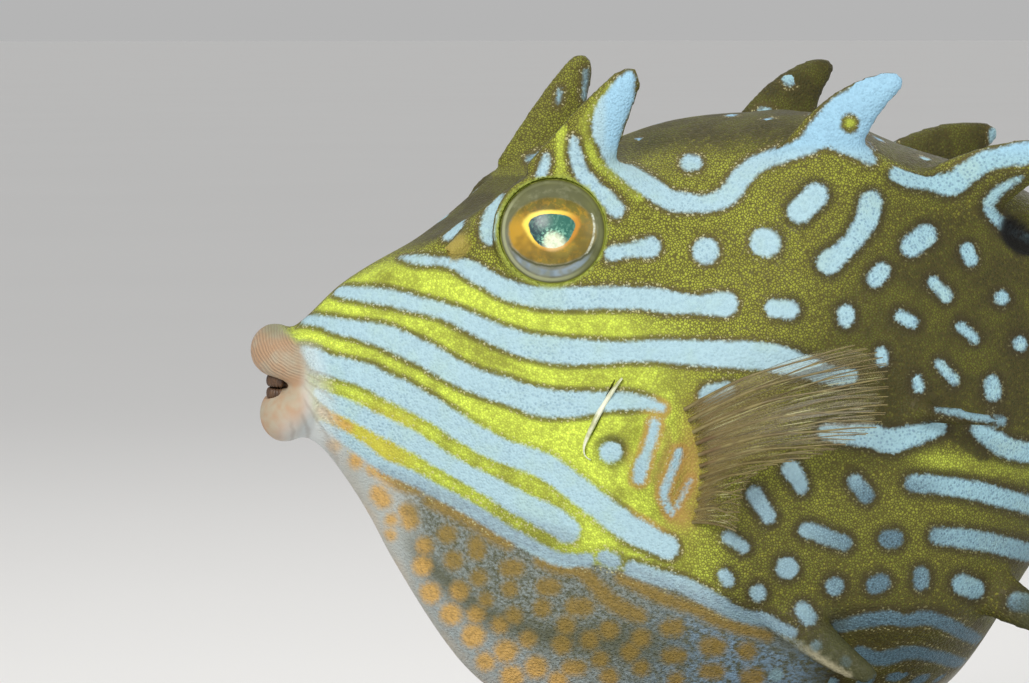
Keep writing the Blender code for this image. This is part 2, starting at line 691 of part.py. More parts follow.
def make_stand(body):
    bm = bmesh.new()
    bmesh.ops.create_cube(bm, size=1)
    size = Matrix.Diagonal((BASE_LENGTH * MM, BASE_WIDTH * MM, BASE_THICKNESS * MM, 1))
    bmesh.ops.transform(bm, matrix=size, verts=bm.verts)
    upright = [e for e in bm.edges if abs(e.verts[0].co.z - e.verts[1].co.z) > BASE_THICKNESS * MM / 2]
    bmesh.ops.bevel(bm, geom=upright, offset=BASE_CORNER * MM, segments=6, profile=0.5, affect="EDGES")
    top_edges = [e for e in bm.edges if all(v.co.z > 0 for v in e.verts)]
    bmesh.ops.bevel(bm, geom=top_edges, offset=BASE_EDGE * MM, segments=2, profile=0.5, affect="EDGES")
    shift = Vector(((BASE_CENTRE_STATION - TOTAL_LENGTH / 2) * MM, 0, BASE_THICKNESS * MM / 2))
    bmesh.ops.translate(bm, verts=bm.verts, vec=shift)
    finish_mesh("stand_base", bm, "stand")
    for name, station in zip(("stand_rod_front", "stand_rod_rear"), ROD_STATIONS):
        foot = (BASE_THICKNESS + GAP) * MM
        head = (along(KEEL_LEVEL, station) + MOUTH_HEIGHT + 4) * MM
        bm = bmesh.new()
        bmesh.ops.create_cone(bm, cap_ends=True, segments=20, radius1=ROD_RADIUS * MM,
                              radius2=ROD_RADIUS * MM, depth=head - foot)
        centre = Vector(((station - TOTAL_LENGTH / 2) * MM, 0, (head + foot) / 2))
        bmesh.ops.translate(bm, verts=bm.verts, vec=centre)
        rod = finish_mesh(name, bm, "stand")
        boolean(rod, "DIFFERENCE", [grown(body)])


def make_horn(name, side, body):
    horn = spine(name, side, *BROW_HORN, slot="horn")
    rim = eye_rim(side)
    boolean(horn, "DIFFERENCE", [grown(body), grown(rim), eye_ball("socket", side, EYE_RADIUS + GAP)])
    bpy.data.objects.remove(rim)


def make_mouth(body):
    upper, lower = lip("lip_upper", UPPER_LIP), lip("lip_lower", LOWER_LIP)
    teeth = make_teeth()
    boolean(teeth, "DIFFERENCE", [grown(body), grown(upper), grown(lower)])
    boolean(upper, "DIFFERENCE", [grown(body)])
    boolean(lower, "DIFFERENCE", [grown(body)])


def build():
    clear_scene()
    body = make_body()
    make_head(body)
    make_torso(body)
    tail = make_tail()
    for side, hand in ((-1, "left"), (1, "right")):
        make_horn("horn_" + hand, side, body)
        eye_ball("eye_" + hand, side, EYE_RADIUS)
        pectoral_fin("pectoral_fin_" + hand, side, body)
    make_mouth(body)
    median_fin("dorsal_fin", DORSAL, TAIL_TOP, tail)
    median_fin("anal_fin", ANAL, TAIL_BOTTOM, tail)
    caudal_fin()
    make_stand(body)
    bpy.data.objects.remove(body)


build()
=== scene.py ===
import math

import bmesh
import bpy
import numpy as np
from mathutils import Matrix, Vector
from mathutils.bvhtree import BVHTree


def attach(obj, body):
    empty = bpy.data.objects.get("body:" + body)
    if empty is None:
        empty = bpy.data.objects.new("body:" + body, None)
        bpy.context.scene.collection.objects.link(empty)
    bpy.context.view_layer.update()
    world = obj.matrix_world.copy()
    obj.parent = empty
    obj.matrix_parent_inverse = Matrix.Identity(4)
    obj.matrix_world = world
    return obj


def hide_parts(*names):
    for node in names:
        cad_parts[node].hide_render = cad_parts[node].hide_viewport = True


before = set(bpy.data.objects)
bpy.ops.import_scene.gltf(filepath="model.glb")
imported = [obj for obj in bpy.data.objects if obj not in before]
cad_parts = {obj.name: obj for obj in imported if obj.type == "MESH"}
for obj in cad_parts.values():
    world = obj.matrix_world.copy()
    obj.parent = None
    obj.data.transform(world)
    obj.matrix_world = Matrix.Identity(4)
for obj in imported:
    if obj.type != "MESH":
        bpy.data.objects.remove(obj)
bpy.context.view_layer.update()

mm = 0.001

# A station is the distance back from the tip of the snout, a reach the distance from the middle
# plane (to the fish's left below zero), and a level the height above the mouth. All are millimetres.
fish = {
    "length": 170,
    "mouthHeight": 74,
    "bodyStart": 6,
    "carapaceEnd": 104,
    "tailEnd": 137,
    "voxel": 0.62,
    "relaxRounds": 9,
    "smoothAngle": 50,
}


def place(station, reach, level):
    return Vector(((station - fish["length"] / 2) * mm, reach * mm, (level + fish["mouthHeight"]) * mm))


def fishPlaces(points):
    # Columns of station, reach and level for an array of points
    shift = np.array([fish["length"] / 2, 0, -fish["mouthHeight"]])
    return points / mm + shift


def along(table, where):
    # The smooth curve through a table of (place, value), read at one place or at many
    places, values = np.array(table, dtype=float).T
    slopes = np.empty_like(values)
    slopes[1:-1] = (values[2:] - values[:-2]) / (places[2:] - places[:-2])
    slopes[0] = (values[1] - values[0]) / (places[1] - places[0])
    slopes[-1] = (values[-1] - values[-2]) / (places[-1] - places[-2])
    spot = np.clip(where, places[0], places[-1])
    k = np.clip(np.searchsorted(places, spot, side="right") - 1, 0, len(places) - 2)
    width = places[k + 1] - places[k]
    t = (spot - places[k]) / width
    rise = values[k + 1] - values[k]
    first, second = slopes[k] * width, slopes[k + 1] * width
    return values[k] + t * (first + t * ((3 * rise - 2 * first - second) + t * (first + second - 2 * rise)))


def smoothStep(low, high, value):
    t = np.clip((value - low) / (high - low), 0, 1)
    return t * t * (3 - 2 * t)


def fullTurn(count):
    return np.linspace(0, 2 * math.pi, count, endpoint=False)


picture = {
    "width": 1029,
    "height": 683,
    "focalPixels": 4560,
    "distance": 600,
    "azimuth": -8,
    "elevation": 4,
    "target": (35, 0, 6),
}


def cameraAxes():
    turn, lift = math.radians(picture["azimuth"]), math.radians(picture["elevation"])
    back = Vector((math.sin(turn) * math.cos(lift), -math.cos(turn) * math.cos(lift), math.sin(lift)))
    right = Vector((math.cos(turn), math.sin(turn), 0))
    return right, back.cross(right), back


def makeCamera():
    right, up, back = cameraAxes()
    data = bpy.data.cameras.new("camera")
    data.sensor_width = 36
    data.lens = picture["focalPixels"] * data.sensor_width / picture["width"]
    data.clip_start = 0.01
    eye = bpy.data.objects.new("camera", data)
    eye.location = place(*picture["target"]) + back * picture["distance"] * mm
    eye.rotation_euler = Matrix((right, up, back)).transposed().to_euler()
    bpy.context.scene.collection.objects.link(eye)
    bpy.context.scene.camera = eye
    return eye


def pictureRay(px, py):
    # The start and the direction of the line of sight through a point of the picture
    right, up, back = cameraAxes()
    across, upward = px - picture["width"] / 2, picture["height"] / 2 - py
    sight = right * across + up * upward - back * picture["focalPixels"]
    return place(*picture["target"]) + back * picture["distance"] * mm, sight.normalized()


def link(name, mesh):
    made = bpy.data.objects.new(name, mesh)
    bpy.context.scene.collection.objects.link(made)
    return made


def bridge(bm, rows):
    # Joins each ring of points, or single point, to the next one
    for a, b in zip(rows, rows[1:]):
        for i in range(max(len(a), len(b))):
            j = i + 1
            corners = (a[i % len(a)], a[j % len(a)], b[j % len(b)], b[i % len(b)])
            bm.faces.new(list(dict.fromkeys(corners)))


def closedTube(bm, rings):
    # Adds a closed tube through rings of equal length, with flat ends
    rows = [[bm.verts.new(p) for p in ring] for ring in rings]
    bridge(bm, rows)
    bm.faces.new(rows[0])
    bm.faces.new(rows[-1])


def addBall(bm, centre, axes, segments=32, rings=20):
    # Adds a ball stretched along three half-axes in millimetres
    stretch = Matrix(axes).transposed().to_4x4()
    stretch.translation = centre / mm
    bmesh.ops.create_uvsphere(bm, u_segments=segments, v_segments=rings, radius=1,
                              matrix=Matrix.Scale(mm, 4) @ stretch)


def toMesh(name, bm):
    bmesh.ops.recalc_face_normals(bm, faces=bm.faces)
    mesh = bpy.data.meshes.new(name)
    bm.to_mesh(mesh)
    bm.free()
    return mesh


def evaluated(obj):
    bpy.context.view_layer.update()
    graph = bpy.context.evaluated_depsgraph_get()
    return bpy.data.meshes.new_from_object(obj.evaluated_get(graph))


def takeResult(obj):
    # Replaces the object's mesh with what its modifiers make of it, and removes them
    mesh = evaluated(obj)
    obj.modifiers.clear()
    obj.data = mesh


def cutWith(piece, tool, operation="DIFFERENCE"):
    cut = piece.modifiers.new("cut", "BOOLEAN")
    cut.operation = operation
    cut.object = tool
    cut.solver = "MANIFOLD"
    takeResult(piece)


def coordinates(mesh):
    values = np.empty(len(mesh.vertices) * 3)
    mesh.vertices.foreach_get("co", values)
    return values.reshape(-1, 3)


def setCoordinates(mesh, points):
    mesh.vertices.foreach_set("co", points.ravel())
    mesh.update()


def normals(mesh):
    values = np.empty(len(mesh.vertices) * 3)
    mesh.vertex_normals.foreach_get("vector", values)
    return values.reshape(-1, 3)


def relax(mesh, rounds, weights=1, keepBulk=True):
    # Evens out a mesh by moving each point towards its neighbours, with little loss of bulk
    edges = np.empty(len(mesh.edges) * 2, dtype=int)
    mesh.edges.foreach_get("vertices", edges)
    a, b = edges.reshape(-1, 2).T
    points = coordinates(mesh)
    count = len(points)
    degree = np.maximum(np.bincount(a, minlength=count) + np.bincount(b, minlength=count), 1)
    weights = np.broadcast_to(weights, count)[:, None]
    for step in range(rounds):
        for pull in ((0.5, -0.52) if keepBulk else (0.5,)):
            total = np.empty_like(points)
            for axis in range(3):
                total[:, axis] = (np.bincount(a, weights=points[b, axis], minlength=count)
                                  + np.bincount(b, weights=points[a, axis], minlength=count))
            points = points + pull * weights * (total / degree[:, None] - points)
    setCoordinates(mesh, points)


def setAttribute(mesh, name, values):
    layer = mesh.attributes.new(name, "FLOAT", "POINT")
    layer.data.foreach_set("value", np.asarray(values, dtype=np.float32))


carapace = {
    "top": [(6, 8.8), (13, 14.8), (27, 21.6), (41, 28.6), (48, 32.4), (56, 35.2), (66, 36), (76, 34.7),
            (87, 30.4), (104, 24.4)],
    "upperRidgeLevel": [(6, 6.5), (20, 17), (33, 24.5), (58, 24.7), (70, 26.6), (85, 27.2), (97, 25.6),
                        (104, 21.6)],
    "ridgeCrests": [(41, 7.2, 8.5), (73.2, 6, 8.2)],
    "upperRidgeReach": [(6, 2.6), (20, 8.2), (34, 13.6), (50, 16.6), (72, 19.2), (84, 19.2), (104, 14)],
    "sideRidgeLevel": [(6, 1.2), (34, 2.5), (70, 1), (104, 0.5)],
    "sideRidgeReach": [(6, 4.8), (13, 8.2), (27, 15), (41, 20.8), (60, 26), (72, 27.2), (84, 27),
                       (104, 19.6)],
    "lowerRidgeLevel": [(6, -3.4), (20, -10.4), (34, -17), (52, -23.6), (74, -27.4), (94, -27.4),
                        (104, -20.4)],
    "lowerRidgeReach": [(6, 3.4), (20, 9.8), (34, 17), (52, 23.8), (72, 26.3), (86, 24.8), (95, 20.4),
                        (104, 13)],
    "keel": [(6, -6.2), (9.5, -8.4), (12.5, -12.6), (15.8, -18.4), (18.5, -24), (23.8, -33),
             (28.4, -39), (33, -42.6), (39, -46.2), (47, -49.4), (56, -50.4), (66, -50),
             (76, -48.4), (86, -45.4), (93, -41.4), (97, -36.4), (100.5, -29), (104, -21.6)],
    "backBow": [(6, 0.1), (30, 0), (41, -0.03), (50, 0.08), (60, 0.12), (75, 0.1), (90, 0.12),
                (104, 0.13)],
    "wallBows": (0.035, 0.03, 0.035),
    "ridgeSoftness": [(6, 0.34), (20, 0.18), (34, 0.09), (60, 0.07), (90, 0.075), (104, 0.16)],
    "wallSteps": 24,
    "stations": 190,
}

tail = {
    "top": [(104, 22.6), (108, 20.6), (114, 16.2), (121, 11.6), (129, 8.9), (137, 9.4)],
    "bottom": [(104, -18.6), (108, -16.8), (114, -12.6), (121, -8.2), (129, -5.4), (137, -5.8)],
    "reach": [(104, 17.2), (108, 14.6), (114, 10.6), (121, 7), (129, 4.2), (137, 2.4)],
    "squareness": 2.2,
    "start": 98,
    "sides": 96,
    "stations": 60,
}

# Root and tip as (station, reach, level), half width, half thickness, tip radius, and the (station,
# level) by which the curve's middle is pulled off the straight line
spines = {
    "horn": ((39.6, 13.2, 27), (47.8, 19.3, 41.9), 5.7, 2.6, 1.4, (-0.5, 0.4)),
    "backFront": ((70.6, 16.4, 27), (82.4, 21.4, 40.7), 5.8, 2.6, 1, (-1.5, 4.6)),
    "backRear": ((90, 16.4, 24.6), (105.8, 21.6, 31.2), 5.6, 2.6, 1, (-0.8, 3)),
    "side": ((80.4, 24.5, -1.4), (92, 35.6, -2.2), 2.1, 1.5, 0.5, (-0.3, 0)),
    "bellyFront": ((66, 23.2, -25.6), (77, 31.4, -35), 4, 2.2, 1.1, (-1.4, -1.6)),
    "bellyRear": ((92.6, 18.6, -24), (105.6, 26.4, -31), 4, 2.2, 1, (-1, -0.8)),
}
spineShape = {"sides": 28, "rings": 30, "flatness": 0.8, "taper": 0.95, "capShare": 0.12}
# The horn and the spines of the back stand taller on the right, and those spines are wider there
rightSide = {"above": 20, "tipShift": (-0.3, 0, 1.6), "widening": 1.2}
hornCut = {"share": 0.42, "rise": 20, "box": (14, 14, 40)}    # the box that cuts each horn from the skin

eyes = {
    "station": 38.4,
    "level": 20.5,
    "depth": 12,
    "socket": [(3.4, -3.4), (5.8, -1.6), (6.8, 0.6), (6.86, 3), (6.9, 14)],    # radius, place on the axis
    "rimRadius": 7,
    "rimThickness": 0.75,
    "rimDepth": 1.4,
    "rimReach": 16.3,
    "forwards": 10,
    "up": 9,
}

mouth = {
    "cornerStation": 7.6,
    "upper": {"corner": (4.7, 1.8), "front": (3.5, 5.2), "radius": (1.6, 3.3), "height": 1.05},
    "lower": {"corner": (4.7, -0.7), "front": (4.7, -3.2), "radius": (1.6, 3.3), "height": 1.10},
    "hollow": {"station": 2.8, "level": -0.35, "size": (3, 3.8, 0.8)},
    "taper": 0.9,
    "toothCount": 12,
    "toothArch": {"station": 4.7, "depth": 2, "reach": 2.7, "turn": 68, "levels": (1.3, -0.55)},
    "tooth": (0.45, 0.4, 0.85),
    "toothLean": 0.12,
    "floor": ((6.3, 0, 0.9), (2.2, 3, 1.5)),
    "toothDark": (0.045, 0.02, 0.009),
    "toothLight": (0.11, 0.055, 0.022),
}

gill = {
    "station": 43.2,
    "level": -2,
    "outset": 0.35,
    "setback": 0.3,
    "halfLength": 4.9,
    "lean": 0.42,
    "slitHalfWidth": 0.26,
    "slitDepth": 0.8,
    # The pale edge's line in the picture, its half width at root and middle, its half height and its lift
    "edge": [(622, 378), (615, 387), (608, 397), (600, 410), (593, 424), (587, 437), (583, 449), (585, 457),
             (591, 460)],
    "edgeWidth": (0.09, 0.27),
    "edgeHeight": 0.6,
    "edgeLift": 0.3,
    "edgePale": (0.72, 0.74, 0.58),
    "edgeDark": (0.42, 0.44, 0.22),
}
pectoralBase = {"station": 50.8, "level": -7.4, "length": 4.2, "height": 8.4, "rise": 3.2, "sink": 1.0}
nostril = {"root": (28.6, 11.2, 20.8), "end": (24.7, 12.6, 18.3), "radii": (1.7, 0.9), "pit": (0.5, 1.2)}
notch = {"place": (102.4, 21.2, 21.4), "size": (7, 7.2, 4.6)}


def upperRidgeLevel(station):
    crests = sum(rise * np.exp(-(((station - spot) / half) ** 2))
                 for spot, rise, half in carapace["ridgeCrests"])
    return along(carapace["upperRidgeLevel"], station) + crests


def carapaceRing(station):
    # The section at a station: four bowed walls on each side, with their ridges rounded
    corners = [
        complex(0, along(carapace["top"], station)),
        complex(along(carapace["upperRidgeReach"], station), upperRidgeLevel(station)),
        complex(along(carapace["sideRidgeReach"], station), along(carapace["sideRidgeLevel"], station)),
        complex(along(carapace["lowerRidgeReach"], station), along(carapace["lowerRidgeLevel"], station)),
        complex(0, along(carapace["keel"], station)),
    ]
    bows = (along(carapace["backBow"], station), *carapace["wallBows"])
    t = np.arange(carapace["wallSteps"]) / carapace["wallSteps"]
    half = [a + (b - a) * t + (b - a) * 1j * bow * 4 * t * (1 - t)
            for a, b, bow in zip(corners, corners[1:], bows)]
    half = np.append(np.concatenate(half), corners[-1])
    ring = np.concatenate([half, -half[-2:0:-1].conj()])
    pitch = np.fft.fftfreq(len(ring))
    spread = along(carapace["ridgeSoftness"], station) * carapace["wallSteps"]
    ring = np.fft.ifft(np.fft.fft(ring) * np.exp(-2 * (math.pi * pitch * spread) ** 2))
    return [place(station, p.real, p.imag) for p in ring]


def tailRing(station):
    top, bottom = along(tail["top"], station), along(tail["bottom"], station)
    reach = along(tail["reach"], station)
    power = 2 / tail["squareness"]
    ring = []
    for turn in fullTurn(tail["sides"]):
        c, s = math.cos(turn), math.sin(turn)
        ring.append(place(station, reach * math.copysign(abs(s) ** power, s),
                          (top + bottom) / 2 + (top - bottom) / 2 * math.copysign(abs(c) ** power, c)))
    return ring


def spineEnds(sizes, side):
    root, tip = sizes[:2]
    if side > 0 and root[2] > rightSide["above"]:
        tip = [a + b for a, b in zip(tip, rightSide["tipShift"])]
    return place(root[0], root[1] * side, root[2]), place(tip[0], tip[1] * side, tip[2])


def spineRings(sizes, side):
    # A curved blade that narrows to a rounded tip
    width, thickness, tipRadius, pull = sizes[2:]
    look = spineShape
    tipThickness = tipRadius * look["flatness"]
    start, end = spineEnds(sizes, side)
    if side > 0 and sizes in (spines["backFront"], spines["backRear"]):
        width *= rightSide["widening"]
    outward = Vector((0, side, 0))
    middle = (start + end) / 2 + Vector((pull[0] * mm, 0, pull[1] * mm))
    rings = []
    for t in np.linspace(0, 1, look["rings"]):
        centre = start * (1 - t) ** 2 + middle * 2 * t * (1 - t) + end * t**2
        heading = ((middle - start) * (1 - t) + (end - middle) * t).normalized()
        flat = (outward - heading * outward.dot(heading)).normalized()
        broad = heading.cross(flat).normalized()
        pastShaft = max(0, (t - 1 + look["capShare"]) / look["capShare"])
        cap = math.sqrt(max(0, 1 - pastShaft**2)) if t < 1 else look["capShare"]
        taper = (1 - t) ** look["taper"]
        halfWidth = (tipRadius + (width - tipRadius) * taper) * cap * mm
        halfThickness = (tipThickness + (thickness - tipThickness) * taper) * cap * mm
        rings.append([centre + broad * halfWidth * math.cos(turn) + flat * halfThickness * math.sin(turn)
                      for turn in fullTurn(look["sides"])])
    return rings


def eyeAxis(side):
    forwards, up = math.radians(eyes["forwards"]), math.radians(eyes["up"])
    axis = Vector((-math.sin(forwards), side * math.cos(forwards) * math.cos(up), math.sin(up)))
    return axis.normalized()


def eyeCentre(side):
    return place(eyes["station"], side * eyes["depth"], eyes["level"])


def addRing(bm, centre, axis, radius, thickness, depth, sides=14, count=96):
    across = axis.orthogonal().normalized()
    upward = axis.cross(across)
    rows = []
    for turn in fullTurn(count):
        spoke = across * math.cos(turn) + upward * math.sin(turn)
        rows.append([bm.verts.new(centre + spoke * (radius + thickness * math.cos(lift)) * mm
                                  + axis * depth * math.sin(lift) * mm)
                     for lift in fullTurn(sides)])
    bridge(bm, rows + rows[:1])


def lipRings(shape, sides=40, count=48):
    # A roll of flesh from one corner of the mouth to the other, thickest in the middle
    (cornerReach, cornerLevel), (frontStation, frontLevel) = shape["corner"], shape["front"]
    corner = np.array((mouth["cornerStation"], cornerLevel, shape["radius"][0]))
    front = np.array((frontStation, frontLevel, shape["radius"][1]))
    points = []
    for turn in np.linspace(-math.pi / 2, math.pi / 2, count):
        middle = max(math.cos(turn), 0) ** mouth["taper"]
        station, level, radius = corner + (front - corner) * middle
        points.append((Vector((station, cornerReach * math.sin(turn), level)), radius))
    rings = []
    for k, (centre, radius) in enumerate(points):
        heading = (points[min(k + 1, count - 1)][0] - points[max(k - 1, 0)][0]).normalized()
        inward = Vector((1, 0, 0)) - heading * heading.x
        inward.normalize()
        upright = heading.cross(inward)
        rings.append([place(*(centre + inward * radius * math.cos(turn)
                              + upright * radius * shape["height"] * math.sin(turn)))
                      for turn in fullTurn(sides)])
    return rings


def nostrilRings(side, sides=20):
    start = place(nostril["root"][0], side * nostril["root"][1], nostril["root"][2])
    end = place(nostril["end"][0], side * nostril["end"][1], nostril["end"][2])
    axis = (end - start).normalized()
    first = axis.orthogonal().normalized()
    second = axis.cross(first)
    rings = []
    for t in np.linspace(0, 1, 8):
        radius = nostril["radii"][0] + (nostril["radii"][1] - nostril["radii"][0]) * t
        rings.append([start.lerp(end, t) + (first * math.cos(turn) + second * math.sin(turn)) * radius * mm
                      for turn in fullTurn(sides)])
    return rings, end, (first, second, axis)


def sculptSkin():
    # Joins the lofts, spines and lips in one even mesh, then cuts the sockets, slits and mouth
    bm = bmesh.new()
    stations = np.linspace(fish["bodyStart"], fish["carapaceEnd"], carapace["stations"])
    closedTube(bm, [carapaceRing(s) for s in stations])
    closedTube(bm, [tailRing(s) for s in np.linspace(tail["start"], fish["tailEnd"], tail["stations"])])
    closedTube(bm, lipRings(mouth["upper"]))
    closedTube(bm, lipRings(mouth["lower"]))
    cuts = bmesh.new()
    for side in (-1, 1):
        for sizes in spines.values():
            closedTube(bm, spineRings(sizes, side))
        rim = eyeCentre(side) + eyeAxis(side) * (eyes["rimReach"] - eyes["depth"]) * mm
        addRing(bm, rim, eyeAxis(side), eyes["rimRadius"], eyes["rimThickness"], eyes["rimDepth"])
        reach = along(carapace["sideRidgeReach"], pectoralBase["station"]) - pectoralBase["sink"]
        addBall(bm, place(pectoralBase["station"], side * reach, pectoralBase["level"]),
                Matrix.Diagonal([pectoralBase[k] for k in ("length", "rise", "height")]))
        rings, end, (first, second, axis) = nostrilRings(side)
        closedTube(bm, rings)
        pitRadius, pitDepth = nostril["pit"]
        addBall(cuts, end, [first * pitRadius, second * pitRadius, axis * pitDepth], 16, 10)
        axis = eyeAxis(side)
        across = axis.orthogonal().normalized()
        hole = [(radius, (eyeCentre(side) + axis * depth * mm)) for radius, depth in eyes["socket"]]
        turns = fullTurn(96)
        closedTube(cuts, [[middle + (across * math.cos(t) + axis.cross(across) * math.sin(t)) * radius * mm
                           for t in turns] for radius, middle in hole])
        slope = Vector((gill["lean"], 0, 1)).normalized()
        across = Vector((slope.z, 0, -slope.x))
        gillReach = along(carapace["sideRidgeReach"], gill["station"]) + gill["outset"]
        slit = place(gill["station"], side * gillReach, gill["level"]) - across * gill["setback"] * mm
        depth = Vector((0, gill["slitDepth"], 0))
        addBall(cuts, slit, [across * gill["slitHalfWidth"], depth, slope * gill["halfLength"]])
        station, spot, level = notch["place"]
        addBall(cuts, place(station, side * spot, level), Matrix.Diagonal(notch["size"]))
    hollow = mouth["hollow"]
    addBall(cuts, place(hollow["station"], 0, hollow["level"]), Matrix.Diagonal(hollow["size"]))
    skin = link("skin", toMesh("skin", bm))
    cutter = link("cutter", toMesh("cutter", cuts))
    remesh = skin.modifiers.new("even", "REMESH")
    remesh.mode = "VOXEL"
    remesh.voxel_size = fish["voxel"] * mm
    remesh.adaptivity = 0
    takeResult(skin)
    relax(skin.data, fish["relaxRounds"])
    cutWith(skin, cutter)
    bpy.data.objects.remove(cutter)
    return skin


# How far the roots of the lips and spines melt into the skin round them
softness = {
    "lipStation": 8.2,
    "lipSpread": 2.2,
    "lipShare": 0.9,
    "rootShare": 0.22,      # a root's place along its spine
    "rootSpread": 4.5,
    "spineShare": 0.8,
    "clearOfEye": (7.6, 10),
    "rounds": 14,
}


def softenJoints(mesh):
    look = softness
    spots = fishPlaces(coordinates(mesh))
    soft = np.exp(-(((spots[:, 0] - look["lipStation"]) / look["lipSpread"]) ** 2)) * look["lipShare"]
    for sizes in spines.values():
        for side in (-1, 1):
            root, tip = np.array(sizes[0]), np.array(sizes[1])
            joint = (root + (tip - root) * look["rootShare"]) * (1, side, 1)
            gap = np.linalg.norm(spots - joint, axis=1)
            soft += look["spineShare"] * np.exp(-(gap / look["rootSpread"]) ** 2)
    eyeZone = np.linalg.norm((spots - (eyes["station"], 0, eyes["level"])) * (1, 0, 1), axis=1)
    soft *= smoothStep(*look["clearOfEye"], eyeZone)
    relax(mesh, look["rounds"], np.clip(soft, 0, 1), keepBulk=False)
    relax(mesh, 2)


def splitHorns(skin):
    # The horns are cut from the finished skin, so that their roots flow out of it
    horns = []
    for side, hand in ((-1, "left"), (1, "right")):
        root, tip = spineEnds(spines["horn"], side)
        axis = (tip - root).normalized()
        bm = bmesh.new()
        turn = axis.to_track_quat("Z", "Y").to_matrix().to_4x4()
        turn.translation = root.lerp(tip, hornCut["share"]) + axis * hornCut["rise"] * mm
        size = Matrix.Diagonal([*(v * mm for v in hornCut["box"]), 1])
        bmesh.ops.create_cube(bm, size=1, matrix=turn @ size)
        box = link("box", toMesh("box", bm))
        horn = link("horn_skin_" + hand, skin.data.copy())
        for piece, operation in ((horn, "INTERSECT"), (skin, "DIFFERENCE")):
            cutWith(piece, box, operation)
        bpy.data.objects.remove(box)
        horns.append(horn)
    return horns


# Marks seen on the inner face of the far horn: two ends and a half width, in the photo
farHornMarks = [((586, 70), (584, 98), 2.2), ((560, 90), (558, 103), 1.8), ((528, 159), (546, 152), 2.4)]

